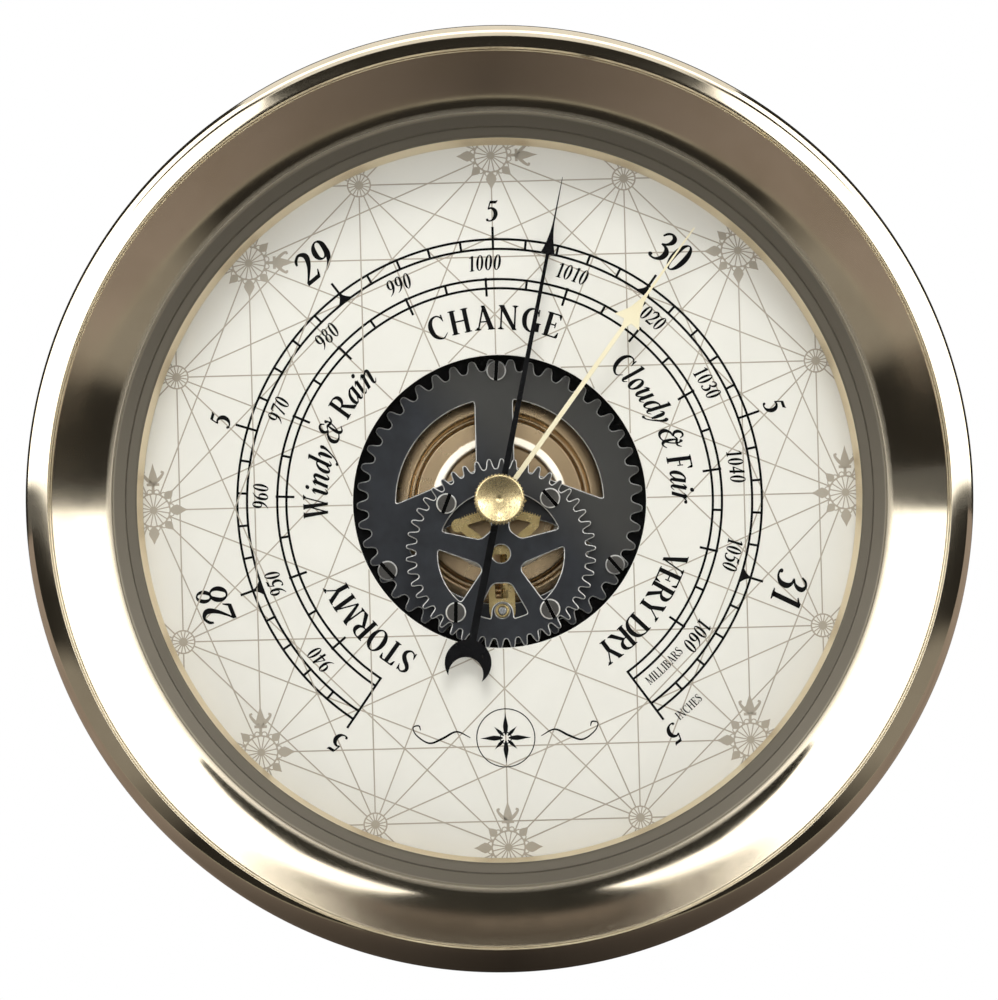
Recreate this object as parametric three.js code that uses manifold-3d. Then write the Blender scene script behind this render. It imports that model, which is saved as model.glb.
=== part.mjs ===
// Wall-hung aneroid barometer with an open-heart dial.
// Millimetres. +Z is up, the dial faces -Y, and the origin is the middle of the flat back.
// "Depth" always means the distance in front of the wall, so a depth d lies at y = -d.
import * as THREE from "three";
import { mergeVertices } from "three/addons/utils/BufferGeometryUtils.js";
import Module from "manifold-3d";

// ---------------------------------------------------------------- driving dimensions

const CASE = {
  lipRadius: 82.5, // widest point of the rolled lip
  depth: 45.6, // wall to the front of the lip
  drumRadius: 69.2,
  drumWall: 1.3,
  drumFront: 30.6,
  flange: { innerRadius: 58, back: 1.8, front: 3.0 },
};
const BEZEL = {
  lipCrest: 78.7, // radius where the lip stands furthest forward
  lipFall: 3.6, // how far the lip curves back to its widest point
  dishOuter: 78.0, // the dish runs between these two radii
  dishInner: 68.0,
  dishBottom: 35.0, // depth of the dish's inner edge
  dishSlopeInner: 32, // degrees from the face plane, just inside the dish
  dishSlopeOuter: 43, // slope of the rest of the dish, which is a cone
  dishFillet: 3.0, // radial width over which the slope grows from one to the other
  thickness: 1.6,
  skirtOuter: 70.8,
  skirtInner: 69.5,
  skirtBack: 25,
  seatDepth: 31.3, // the face that holds the glass
  sightRadius: 63.4,
};
const GLASS = { radius: 66.2, back: 28.8, front: 31.0, bore: 2.2 };
const GASKET = { inner: 63.8, back: 28.0, front: 28.5 };
const SPACER = { outer: 65.6, innerFront: 63.5, innerBack: 62.5, back: 21.6, front: 27.7 };
const DIAL = { radius: 65.6, aperture: 25.7, back: 20.5, front: 21.3 };
const SUPPORT = { inner: 60, outer: 67.6, back: 17.2, front: 20.2 };
const BACK_COVER = { radius: 68.6, front: 1.5, screwCircle: 63.5 };

const RING = { inner: 19.5, outer: 33, back: 13.6, front: 14.6 };
const MAIN_PLATE = { teeth: 45, tip: 25.15, root: 23.2, back: 14.9, front: 16.1, screwCircle: 23.1 };
const FRONT_PLATE = { teeth: 46, tip: 16.75, root: 15.0, back: 19.0, front: 20.2, centreZ: -9.15 };
const FRONT_SCREW_CIRCLE = 13;
const FRONT_SCREW_ANGLES = [136, 47, 231, 310]; // upper left, upper right, lower left, lower right
const FRONT_SLOT_ANGLES = [68, -50, 88, -65];
const MAIN_SCREW_ANGLES = [90, 210, 330];
const MAIN_SLOT_ANGLES = [85, -49, -50];

const MODULE = 0.15; // tooth size of the sector and its pinion
const PINION_TEETH = 16;
const SECTOR_FULL_TEETH = 240; // teeth on the full circle that the sector is cut from
const SECTOR = { halfSpan: 25.6, back: 17.3, front: 18.1, rim: 1.7, slotWidth: 2.3 };
const PIVOT_DISTANCE = (MODULE * (PINION_TEETH + SECTOR_FULL_TEETH)) / 2;
const GEAR_RATIO = SECTOR_FULL_TEETH / PINION_TEETH;

const ROCKER = { x: 0.6, depth: 12.6, radius: 0.8, halfLength: 19.4, driveArmAbovePivot: 6 };
const DRIVE_REACH = 5.1; // rocking shaft to the middle of the sector
const DRIVE_ARM_LENGTH = 6.0; // the tip stands just through the sector, short of the front plate
const CAPSULE = { radius: 20.6, flatRadius: 17, back: 5.3, shellFront: 8.1, diaphragmRadius: 20.0 };
const DIAPHRAGM = { back: 8.7, low: 9.1, flat: 9.6, high: 10.3 }; // depths of its corrugations
const BASE_PLATE = { radius: 28.5, back: 3.6, front: 5.0 };
const ADJUSTER = { z: -12, headRadius: 2.4 };
const FRAME_POSTS = { radius: 1.6, circle: 25.3, angles: [30, 150, 270] };
const DIAL_FEET = { radius: 1.3, circle: 30, angles: [90, 210, 330] };

const HAND = { length: 57.8, back: 24.6, front: 25.0, restAngle: 12.5 };
const SET_HAND = { length: 58.7, back: 26.9, front: 27.3, restAngle: 37.0 };
const KNOB = { radius: 4.47, flutes: 44, fluteDepth: 0.2, back: 31.7, front: 39.6 };

const BIG_SEGMENTS = 48;
const MID_SEGMENTS = 36;
const SMALL_SEGMENTS = 16;

// ---------------------------------------------------------------- materials

function material(color, roughness, metalness) {
  return new THREE.MeshStandardMaterial({ color, roughness, metalness });
}
const polishedBrass = material(0xb9ab86, 0.12, 1);
const agedBrass = material(0xa8905a, 0.35, 1);
const brass = material(0xc2a45e, 0.28, 1);
const bronze = material(0x9c6f4a, 0.35, 1);
const blackSteel = material(0x23252b, 0.3, 0.8);
const blackEnamel = material(0x08080a, 0.2, 0.2);
const steel = material(0x8d8f92, 0.3, 1);
const dialWhite = material(0xebe7de, 0.6, 0);
const creamEnamel = material(0xf0e8c8, 0.5, 0);
const glassClear = new THREE.MeshStandardMaterial({
  color: 0xf4f8f8,
  roughness: 0.02,
  metalness: 0,
  transparent: true,
  opacity: 0.2,
});
const rubber = material(0x1c1c1c, 0.8, 0);

// ---------------------------------------------------------------- small geometry tools

const wasm = await Module();
wasm.setup();
const rad = THREE.MathUtils.degToRad;

function polar(radius, degrees) {
  return [radius * Math.cos(rad(degrees)), radius * Math.sin(rad(degrees))];
}

function arc(radius, from, to, steps, centre = [0, 0]) {
  const points = [];
  for (let i = 0; i <= steps; i++) {
    const [x, y] = polar(radius, from + ((to - from) * i) / steps);
    points.push([x + centre[0], y + centre[1]]);
  }
  return points;
}

function circle(radius, steps, centre = [0, 0]) {
  return arc(radius, 0, 360, steps, centre).slice(0, -1);
}

// A closed outline whose corners [x, y, radius] are rounded; corners without a radius stay sharp.
function rounded(corners, steps = 3) {
  const points = [];
  corners.forEach(([x, y, radius = 0], i) => {
    if (!radius) {
      points.push([x, y]);
      return;
    }
    const corner = new THREE.Vector2(x, y);
    const previous = corners[(i + corners.length - 1) % corners.length];
    const next = corners[(i + 1) % corners.length];
    const towards = ([px, py]) => {
      const edge = new THREE.Vector2(px, py).sub(corner);
      return corner.clone().add(edge.setLength(Math.min(radius, edge.length() / 2)));
    };
    const bend = new THREE.QuadraticBezierCurve(towards(previous), corner, towards(next));
    bend.getPoints(steps).forEach((p) => points.push([p.x, p.y]));
  });
  return points;
}

// A flat shape with holes; its outline runs counter-clockwise, as ExtrudeGeometry expects.
function shapeOf(outline, holes) {
  const points = outline.map(([x, y]) => new THREE.Vector2(x, y));
  if (THREE.ShapeUtils.isClockWise(points)) points.reverse();
  const shape = new THREE.Shape(points);
  holes.forEach((hole) => {
    shape.holes.push(new THREE.Path(hole.map(([x, y]) => new THREE.Vector2(x, y))));
  });
  return shape;
}

function extruded(outline, holes, depth) {
  return new THREE.ExtrudeGeometry(shapeOf(outline, holes), { depth, bevelEnabled: false });
}

// A flat plate seen from the front: outline and holes in (x, z), between two depths.
function plate(outline, holes, back, front) {
  return extruded(outline, holes, front - back).rotateX(Math.PI / 2).translate(0, -back, 0);
}

// A flat blank seen from above: outline and holes in (x, depth), between two heights.
function slab(outline, holes, low, high) {
  const turnedOver = (points) => points.map(([x, depth]) => [x, -depth]);
  const blank = extruded(turnedOver(outline), holes.map(turnedOver), high - low);
  return blank.translate(0, 0, low);
}

// A turned piece about the dial axis from a closed (radius, depth) profile.
function turned(profile, segments) {
  const points = profile.map(([r, d]) => new THREE.Vector2(r, -d));
  const onAxis = profile[0][0] === 0 && profile[profile.length - 1][0] === 0;
  if (!onAxis) points.push(points[0].clone());
  return new THREE.LatheGeometry(points, segments);
}

const tube = (inner, outer, back, front, segments) =>
  turned([[inner, back], [outer, back], [outer, front], [inner, front]], segments);

const rod = (radius, back, front, segments = SMALL_SEGMENTS) =>
  turned([[0, back], [radius, back], [radius, front], [0, front]], segments);

// The closed solid of a geometry, facing out.
function solid(geometry) {
  const bare = geometry.index ? geometry.toNonIndexed() : geometry.clone();
  bare.deleteAttribute("normal");
  bare.deleteAttribute("uv");
  const merged = mergeVertices(bare, 1e-4);
  const at = merged.attributes.position.array;
  const kept = [];
  let volume = 0;
  for (let i = 0; i < merged.index.count; i += 3) {
    const [a, b, c] = [0, 1, 2].map((k) => merged.index.getX(i + k));
    if (a === b || b === c || c === a) continue;
    const [p, q, r] = [a, b, c].map((v) => new THREE.Vector3().fromArray(at, v * 3));
    volume += p.dot(q.cross(r));
    kept.push([a, b, c]);
  }
  if (volume < 0) kept.forEach((t) => t.reverse());
  const mesh = new wasm.Mesh({
    numProp: 3,
    vertProperties: new Float32Array(at),
    triVerts: new Uint32Array(kept.flat()),
  });
  return new wasm.Manifold(mesh);
}

function geometryOf(manifold) {
  const mesh = manifold.getMesh();
  const geometry = new THREE.BufferGeometry();
  geometry.setAttribute("position", new THREE.BufferAttribute(new Float32Array(mesh.vertProperties), 3));
  geometry.setIndex(new THREE.BufferAttribute(new Uint32Array(mesh.triVerts), 1));
  geometry.computeVertexNormals();
  return geometry;
}

const join = (...parts) => geometryOf(parts.map(solid).reduce((a, b) => a.add(b)));
const cut = (body, ...tools) =>
  geometryOf(tools.map(solid).reduce((a, b) => a.subtract(b), solid(body)));

const barometer = new THREE.Group();

function add(name, geometry, finish, parent = barometer) {
  const mesh = new THREE.Mesh(geometryOf(solid(geometry)), finish);
  mesh.name = name;
  parent.add(mesh);
  return mesh;
}

// A point on a circle of the face, at polar angle `degrees` counter-clockwise from +X.
function place(mesh, radius, degrees, centreZ = 0) {
  const [x, z] = polar(radius, degrees);
  mesh.position.set(x, 0, z + centreZ);
}

// ---------------------------------------------------------------- case, bezel and glass

// The dish starts flatter at its inner edge, then runs out as a cone.
function dishDepth(radius) {
  const inner = Math.tan(rad(BEZEL.dishSlopeInner));
  const outer = Math.tan(rad(BEZEL.dishSlopeOuter));
  const run = radius - BEZEL.dishInner;
  const bent = Math.min(run, BEZEL.dishFillet);
  const overFillet = inner * bent + ((outer - inner) * bent * bent) / (2 * BEZEL.dishFillet);
  return BEZEL.dishBottom + overFillet + outer * (run - bent);
}

function bezelProfile() {
  const dish = [68, 69, 70, 71, BEZEL.dishOuter].map((r) => [r, dishDepth(r)]);
  const straightBack = BEZEL.thickness / Math.cos(rad(BEZEL.dishSlopeOuter));
  const behind = [79.2, 71.4].map((r) => [r, dishDepth(r) - straightBack]);
  const lipWidth = CASE.lipRadius - BEZEL.lipCrest;
  const lip = [90, 72, 54, 36, 18, 0].map((a) => {
    const [across, forward] = polar(1, a);
    const front = CASE.depth - BEZEL.lipFall;
    return [BEZEL.lipCrest + lipWidth * across, front + BEZEL.lipFall * forward];
  });
  const crest = CASE.depth;
  return [
    [BEZEL.sightRadius, BEZEL.seatDepth],
    [BEZEL.sightRadius, BEZEL.seatDepth + 0.6],
    [BEZEL.sightRadius + 0.3, BEZEL.seatDepth + 1.0],
    [65.2, 32.7],
    [65.4, 33.3],
    [BEZEL.dishInner - 0.3, BEZEL.dishBottom - 0.4],
    ...dish,
    [BEZEL.dishOuter + 0.15, crest - 0.9],
    [BEZEL.dishOuter + 0.35, crest - 0.25],
    ...lip,
    [CASE.lipRadius - 0.5, crest - BEZEL.lipFall - 1.1],
    [CASE.lipRadius - 1.6, crest - BEZEL.lipFall - 1.4],
    ...behind,
    [BEZEL.skirtOuter, 35.4],
    [BEZEL.skirtOuter, BEZEL.skirtBack],
    [BEZEL.skirtInner, BEZEL.skirtBack],
    [BEZEL.skirtInner, BEZEL.seatDepth],
  ];
}

// The bezel is pressed on to the drum, as a lid is.
add("bezel", turned(bezelProfile(), BIG_SEGMENTS), polishedBrass);

add("glass", tube(GLASS.bore, GLASS.radius, GLASS.back, GLASS.front, BIG_SEGMENTS), glassClear);
add("glass_gasket", tube(GASKET.inner, GLASS.radius, GASKET.back, GASKET.front, BIG_SEGMENTS), rubber);
const spacerProfile = [
  [SPACER.innerBack, SPACER.back],
  [SPACER.outer, SPACER.back],
  [SPACER.outer, SPACER.front],
  [SPACER.innerFront, SPACER.front],
];
add("spacer_ring", turned(spacerProfile, BIG_SEGMENTS), brass);

const dialOutline = circle(DIAL.radius, BIG_SEGMENTS);
add("dial_plate", plate(dialOutline, [circle(DIAL.aperture, 48)], DIAL.back, DIAL.front), dialWhite);
add("dial_support_ring", tube(SUPPORT.inner, SUPPORT.outer, SUPPORT.back, SUPPORT.front, BIG_SEGMENTS), brass);

const drumInner = CASE.drumRadius - CASE.drumWall;
const caseProfile = [
  [CASE.flange.innerRadius, CASE.flange.back],
  [CASE.drumRadius, CASE.flange.back],
  [CASE.drumRadius, CASE.drumFront],
  [drumInner, CASE.drumFront],
  [drumInner, CASE.flange.front],
  [CASE.flange.innerRadius, CASE.flange.front],
];
const COVER_SCREW_ANGLES = [30, 150, 270];
const flangeHoles = COVER_SCREW_ANGLES.map((a) => {
  const [x, z] = polar(BACK_COVER.screwCircle, a);
  return rod(1.1, CASE.flange.back - 1, CASE.flange.front + 1, 12).translate(x, 0, z);
});
add("case_body", cut(turned(caseProfile, BIG_SEGMENTS), ...flangeHoles), polishedBrass);

// ---------------------------------------------------------------- back cover and hanger

const KEYHOLE = { z: 44, eyeRadius: 4.5, slotHalfWidth: 2.0, slotTop: 52 };

function keyhole(growth) {
  const half = KEYHOLE.slotHalfWidth + growth;
  const eye = KEYHOLE.eyeRadius + growth;
  const open = THREE.MathUtils.radToDeg(Math.asin(half / eye));
  return [
    ...arc(half, 0, 180, 6, [0, KEYHOLE.slotTop]),
    ...arc(eye, 90 + open, 450 - open, 14, [0, KEYHOLE.z]),
  ];
}

const coverHoles = [
  ...COVER_SCREW_ANGLES.map((a) => circle(1.9, 12, polar(BACK_COVER.screwCircle, a))),
  ...[45, 135, 180, 225, 315, 0].map((a) => circle(1.6, 8, polar(40, a))),
  circle(3.2, 12, [0, ADJUSTER.z]),
  keyhole(1.5),
];
add("back_cover", plate(circle(BACK_COVER.radius, BIG_SEGMENTS), coverHoles, 0, BACK_COVER.front), agedBrass);
COVER_SCREW_ANGLES.forEach((a, i) => {
  const profile = [[0, 0.2], [1.7, 0.2], [0.85, 1.3], [0.85, 3.8], [0, 3.8]];
  const slot = new THREE.BoxGeometry(4, 0.9, 0.45);
  place(add(`back_cover_screw_${i + 1}`, cut(turned(profile, 12), slot), steel), BACK_COVER.screwCircle, a);
});
const hangerOutline = rounded([[-13, 35, 3], [13, 35, 3], [13, 57, 3], [-13, 57, 3]]);
add("hanger_plate", plate(hangerOutline, [keyhole(0)], 1.8, 3.0), steel);

// ---------------------------------------------------------------- movement plates

// Rounded cog teeth standing on a root circle.
function cogOutline({ teeth, tip, root }) {
  const shoulder = tip - 0.16 * (tip - root);
  const tooth = [[0.13, root], [0.31, shoulder], [0.42, tip], [0.58, tip], [0.69, shoulder], [0.87, root]];
  const points = [];
  for (let i = 0; i < teeth; i++) {
    tooth.forEach(([share, radius]) => points.push(polar(radius, ((i + share) * 360) / teeth)));
  }
  return points;
}

add("movement_ring", tube(RING.inner, RING.outer, RING.back, RING.front, 48), blackEnamel);

function mainPlateWindows() {
  const rim = 18.2;
  const spoke = { left: -4.0, right: 2.8 }; // the upper spoke's two straight edges
  const shoulderSlope = Math.tan(rad(21.2)); // top edges of the two lower arms
  const upper = (edge, side) => {
    const top = THREE.MathUtils.radToDeg(Math.acos(edge / rim));
    const ends = side < 0 ? [top, 179.5] : [0.5, top];
    const bow = arc(rim, ends[0] + 2, ends[1] - 2, 12);
    const inner = [edge, (rim - Math.abs(edge)) * shoulderSlope + 0.2, 0.8];
    return side < 0
      ? rounded([[...polar(rim, top), 0.8], ...bow, [...polar(rim, 179.5), 0.8], inner])
      : rounded([[...polar(rim, 0.5), 0.8], ...bow, [...polar(rim, top), 0.8], inner]);
  };
  const lowerRim = 17.9;
  const lower = rounded([
    [...polar(lowerRim, 206), 0.8],
    ...arc(lowerRim, 209, 331, 16),
    [...polar(lowerRim, 334), 0.8],
    [8, -3.5, 2],
    [0, -2.6, 1],
    [-8, -3.5, 2],
  ]);
  return [upper(spoke.left, -1), upper(spoke.right, 1), lower];
}

const mainHoles = [
  ...mainPlateWindows(),
  circle(0.9, 12),
  circle(0.8, 12, [0, -PIVOT_DISTANCE]),
];
add("main_plate", plate(cogOutline(MAIN_PLATE), mainHoles, MAIN_PLATE.back, MAIN_PLATE.front), blackSteel);

// A five-spoked wheel with a round-headed tongue in its lowest window that carries the sector's pivot.
const TONGUE = { halfWidth: 1.95, bushBelowCentre: 10.05 };
function frontPlateWindows() {
  const rim = 11.05;
  const hub = 4.4;
  const upperLeft = [
    [...polar(rim, 98), 0.7],
    ...arc(rim, 102, 154, 8),
    [...polar(rim, 158), 0.7],
    [...polar(hub, 144), 0.7],
    [...polar(hub, 112), 0.7],
  ];
  const lowerLeft = [
    [...polar(rim, 175), 0.7],
    ...arc(rim, 179, 225, 8),
    [...polar(rim, 229), 0.7],
    [...polar(hub, 220), 0.7],
    [...polar(hub, 203), 0.7],
  ];
  const mirror = (points) => points.map(([x, y, r]) => [-x, y, r]).reverse();
  const head = -TONGUE.bushBelowCentre - 0.3;
  const foot = 11.5;
  const bottom = [
    [...polar(foot, 247), 0.8],
    ...arc(foot, 250, 257, 2),
    [-TONGUE.halfWidth - 0.1, -foot + 0.1, 0.5],
    ...arc(TONGUE.halfWidth, 180, 0, 10, [0, head]),
    [TONGUE.halfWidth + 0.1, -foot + 0.1, 0.5],
    ...arc(foot, 283, 290, 2),
    [...polar(foot, 293), 0.8],
    [1.6, -5.2, 0.9],
    [-1.6, -5.2, 0.9],
  ];
  const windows = [upperLeft, mirror(upperLeft), lowerLeft, mirror(lowerLeft), bottom];
  return windows.map((w) => rounded(w));
}

const shifted = (points, dz) => points.map(([x, z]) => [x, z + dz]);
const frontWheel = plate(
  shifted(cogOutline(FRONT_PLATE), FRONT_PLATE.centreZ),
  [
    ...frontPlateWindows().map((w) => shifted(w, FRONT_PLATE.centreZ)),
    circle(1.6, 16, [0, FRONT_PLATE.centreZ]),
    circle(1.25, 12, [0, -PIVOT_DISTANCE]),
  ],
  FRONT_PLATE.back,
  FRONT_PLATE.front,
);
const handBoss = plate(circle(2.5, 20), [], FRONT_PLATE.back, FRONT_PLATE.front);
const handBossHole = plate(circle(1.6, 16), [], FRONT_PLATE.back - 1, FRONT_PLATE.front + 1);
add("front_plate", cut(join(frontWheel, handBoss), handBossHole), blackSteel);

// Cheese-head screw: head in front of a plate face, shank behind it, slot turned to its own angle.
function slottedScrew(face, headRadius, headHeight, shankLength, slotAngle) {
  const top = face + 0.15 + headHeight;
  const profile = [
    [0, face - shankLength],
    [0.6, face - shankLength],
    [0.6, face + 0.15],
    [headRadius, face + 0.15],
    [headRadius, top - 0.2],
    [headRadius - 0.2, top],
    [0, top],
  ];
  const slot = new THREE.BoxGeometry(2 * headRadius + 1, 1.0, 0.55);
  slot.translate(0, -top, 0).rotateY(-rad(slotAngle));
  return cut(turned(profile, 16), slot);
}

// Plates are tapped for the shanks: each shank ends inside its own pillar or just in front of a plate.
MAIN_SCREW_ANGLES.forEach((a, i) => {
  const screw = slottedScrew(MAIN_PLATE.front, 1.75, 0.8, -0.1, MAIN_SLOT_ANGLES[i]);
  place(add(`main_plate_screw_${i + 1}`, screw, blackSteel), MAIN_PLATE.screwCircle, a);
});
FRONT_SCREW_ANGLES.forEach((a, i) => {
  const screw = slottedScrew(FRONT_PLATE.front, 1.8, 0.9, -0.1, FRONT_SLOT_ANGLES[i]);
  place(add(`front_plate_screw_${i + 1}`, screw, blackSteel), FRONT_SCREW_CIRCLE, a, FRONT_PLATE.centreZ);
  const pillar = rod(1.5, MAIN_PLATE.front + 0.1, FRONT_PLATE.back - 0.1);
  place(add(`front_pillar_${i + 1}`, pillar, brass), FRONT_SCREW_CIRCLE, a, FRONT_PLATE.centreZ);
});
FRAME_POSTS.angles.forEach((a, i) => {
  const post = rod(FRAME_POSTS.radius, BASE_PLATE.front + 0.1, RING.back - 0.1);
  place(add(`frame_post_${i + 1}`, post, brass), FRAME_POSTS.circle, a);
});
DIAL_FEET.angles.forEach((a, i) => {
  const foot = rod(DIAL_FEET.radius, RING.front + 0.1, DIAL.back - 0.1);
  place(add(`dial_foot_${i + 1}`, foot, brass), DIAL_FEET.circle, a);
});
const baseHoles = [circle(2.2, 16), circle(1.4, 12, [0, ADJUSTER.z])];
add("base_plate", plate(circle(BASE_PLATE.radius, 40), baseHoles, BASE_PLATE.back, BASE_PLATE.front), brass);
add("hand_arbor_bush", tube(0.9, 1.5, 18.9, 20.6, SMALL_SEGMENTS), brass);
const sectorBush = add("sector_bush", tube(0.8, 1.15, 18.8, 20.5, SMALL_SEGMENTS), brass);
sectorBush.position.z = -PIVOT_DISTANCE;

// ---------------------------------------------------------------- capsule

const rearShell = [
  [0, CAPSULE.back],
  [CAPSULE.flatRadius, CAPSULE.back],
  [CAPSULE.radius, CAPSULE.shellFront - 0.8],
  [CAPSULE.radius, CAPSULE.shellFront],
  [0, CAPSULE.shellFront],
];
add("capsule_rear_shell", turned(rearShell, MID_SEGMENTS), bronze);
// The diaphragm's rings from its rim inwards to the raised middle that carries the post.
const diaphragm = [
  [0, DIAPHRAGM.back],
  [CAPSULE.diaphragmRadius, DIAPHRAGM.back],
  [CAPSULE.diaphragmRadius, DIAPHRAGM.back + 0.3],
  [18.6, DIAPHRAGM.flat - 0.1],
  [16.0, DIAPHRAGM.flat - 0.1],
  [15.6, DIAPHRAGM.low],
  [15.0, DIAPHRAGM.low],
  [14.8, DIAPHRAGM.flat + 0.3],
  [11.9, DIAPHRAGM.flat + 0.3],
  [11.6, DIAPHRAGM.high],
  [10.6, DIAPHRAGM.high],
  [10.3, DIAPHRAGM.flat],
  [3.9, DIAPHRAGM.flat],
  [3.6, DIAPHRAGM.high],
  [0, DIAPHRAGM.high],
];
add("capsule_diaphragm", turned(diaphragm, MID_SEGMENTS), bronze);
add("capsule_post", rod(2.6, DIAPHRAGM.high + 0.12, DIAPHRAGM.high + 0.55, 20), brass);
const STUD = { radius: 2.0, back: 2.1, nutRadius: 4.2, nutFront: 3.4 };
add("capsule_base_stud", rod(STUD.radius, STUD.back, CAPSULE.back - 0.1), brass);
const nutHole = circle(STUD.radius + 0.15, 12);
add("capsule_nut", plate(circle(STUD.nutRadius, 6), [nutHole], STUD.back, STUD.nutFront), steel);

// ---------------------------------------------------------------- rocking shaft

const rocker = new THREE.Group();
rocker.position.set(ROCKER.x, -ROCKER.depth, 0);
const sectorRest = -HAND.restAngle / GEAR_RATIO;
rocker.rotation.z = rad((sectorRest * ROCKER.driveArmAbovePivot) / DRIVE_REACH);
barometer.add(rocker);
const shaft = slab(circle(ROCKER.radius, 12), [], -ROCKER.halfLength, ROCKER.halfLength);
add("rocking_shaft", shaft, brass, rocker);

const collarHole = circle(ROCKER.radius + 0.08, 12);
const driveOutline = [
  ...arc(1.2, 160, 380, 12),
  [0.55, 2.4],
  [-0.15, DRIVE_ARM_LENGTH],
  [-1.0, DRIVE_ARM_LENGTH],
  [-0.55, 2.4],
];
const driveZ = -PIVOT_DISTANCE + ROCKER.driveArmAbovePivot;
add("drive_arm", slab(driveOutline, [collarHole], driveZ - 0.6, driveZ + 0.6), brass, rocker);
const capsuleArmOutline = [
  ...arc(1.2, -150, 150, 14),
  [-2.4, 0.3],
  [-2.6, -1.5],
  [-2.0, -1.5],
];
add("capsule_arm", slab(capsuleArmOutline, [collarHole], -0.8, 0.8), brass, rocker);

[1, -1].forEach((side) => {
  const which = side > 0 ? "upper" : "lower";
  const outline = [[-1.6, -1.6], [2.6, -1.6], [2.6, 0.85], [-1.6, 0.85]];
  const [low, high] = side > 0 ? [20.0, 22.2] : [-22.2, -20.0];
  const bracket = slab(outline, [circle(0.6, 12)], low, high);
  bracket.translate(ROCKER.x, -ROCKER.depth, 0);
  add(`rocker_bracket_${which}`, bracket, brass);
  const tip = ROCKER.halfLength + 0.15;
  const screw = slab(circle(0.5, 12), [], side > 0 ? tip : -23, side > 0 ? 23 : -tip);
  screw.translate(ROCKER.x, -ROCKER.depth, 0);
  add(`rocker_pivot_screw_${which}`, screw, steel);
});

// ---------------------------------------------------------------- toothed sector

const sectorGroup = new THREE.Group();
sectorGroup.position.z = -PIVOT_DISTANCE;
sectorGroup.rotation.y = rad(sectorRest);
barometer.add(sectorGroup);

// Slim teeth on a pitch circle; `phase` is where a tooth or a gap stands, in degrees.
function fineTeeth(count, pitchRadius, from, to, phase) {
  const pitch = 360 / count;
  const [root, tip] = [pitchRadius - 0.22, pitchRadius + 0.08];
  const points = [];
  for (let a = Math.ceil((from - phase) / pitch) * pitch + phase; a < to - 1e-6; a += pitch) {
    points.push(polar(root, a - 0.2 * pitch), polar(tip, a - 0.09 * pitch));
    points.push(polar(tip, a + 0.09 * pitch), polar(root, a + 0.2 * pitch));
  }
  return points;
}

function sectorOutline() {
  const pitchRadius = (MODULE * SECTOR_FULL_TEETH) / 2;
  const [from, to] = [90 - SECTOR.halfSpan, 90 + SECTOR.halfSpan];
  const rimInner = pitchRadius - SECTOR.rim;
  const bodyHalf = 2.3;
  return [
    polar(rimInner - 0.3, from),
    ...fineTeeth(SECTOR_FULL_TEETH, pitchRadius, from + 0.4, to - 0.2, 90),
    polar(rimInner - 0.3, to),
    [-bodyHalf - 0.5, 10.8],
    [-bodyHalf, 8.6],
    ...arc(bodyHalf, 180, 360, 10),
    [bodyHalf, 8.6],
    [bodyHalf + 0.5, 10.8],
  ];
}

const rimInner = (MODULE * SECTOR_FULL_TEETH) / 2 - SECTOR.rim;
const sectorWindow = rounded([
  [...polar(rimInner, 69.5), 0.5],
  ...arc(rimInner, 72, 108, 8),
  [...polar(rimInner, 110.5), 0.5],
  [-0.7, 11.4, 0.5],
  [0.7, 11.4, 0.5],
]);
const slotHalf = SECTOR.slotWidth / 2;
const driveSlot = rounded([
  [-slotHalf, 2.2, 0.3],
  [slotHalf, 2.2, 0.3],
  [slotHalf, 10.0, 0.3],
  [-slotHalf, 10.0, 0.3],
]);
const sectorHoles = [sectorWindow, driveSlot, circle(0.8, 12)];
const sectorBlank = plate(sectorOutline(), sectorHoles, SECTOR.back, SECTOR.front);
const sectorBoss = plate(circle(1.25, 12, polar(16.9, 115)), [], SECTOR.back, SECTOR.front);
add("sector", join(sectorBlank, sectorBoss), brass, sectorGroup);
add("sector_arbor", rod(0.7, 15.0, 20.7, 12), steel, sectorGroup);

// ---------------------------------------------------------------- pointer, its arbor and hairspring

const handGroup = new THREE.Group();
handGroup.rotation.y = rad(HAND.restAngle);
barometer.add(handGroup);

const pinionPitch = 360 / PINION_TEETH;
const pinionOutline = fineTeeth(PINION_TEETH, (MODULE * PINION_TEETH) / 2, -90, 270, -90 + pinionPitch / 2);
const pinion = plate(pinionOutline, [], 16.5, 18.15);
add("hand_arbor", join(pinion, rod(0.75, 15.0, 24.3)), steel, handGroup);
add("hairspring_collet", tube(0.85, 1.3, 18.3, 18.8, 12), brass, handGroup);
add("hand_bush", tube(0.85, 1.45, 22.8, 25.3, SMALL_SEGMENTS), brass, handGroup);

// A flat spiral ribbon from the collet to the stud.
function hairspring() {
  const [turns, start, end, halfThickness, steps] = [3.25, 1.45, 3.9, 0.09, 52];
  const side = (sign) => {
    const points = [];
    for (let i = 0; i <= steps; i++) {
      const share = i / steps;
      points.push(polar(start + (end - start) * share + sign * halfThickness, -turns * 360 * (1 - share)));
    }
    return points;
  };
  return plate([...side(1), ...side(-1).reverse()], [], 18.35, 18.7);
}
add("hairspring", hairspring(), steel);
const stud = add("hairspring_stud", rod(0.35, 18.3, 18.85, 8), brass);
stud.position.x = 4.4;

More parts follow.
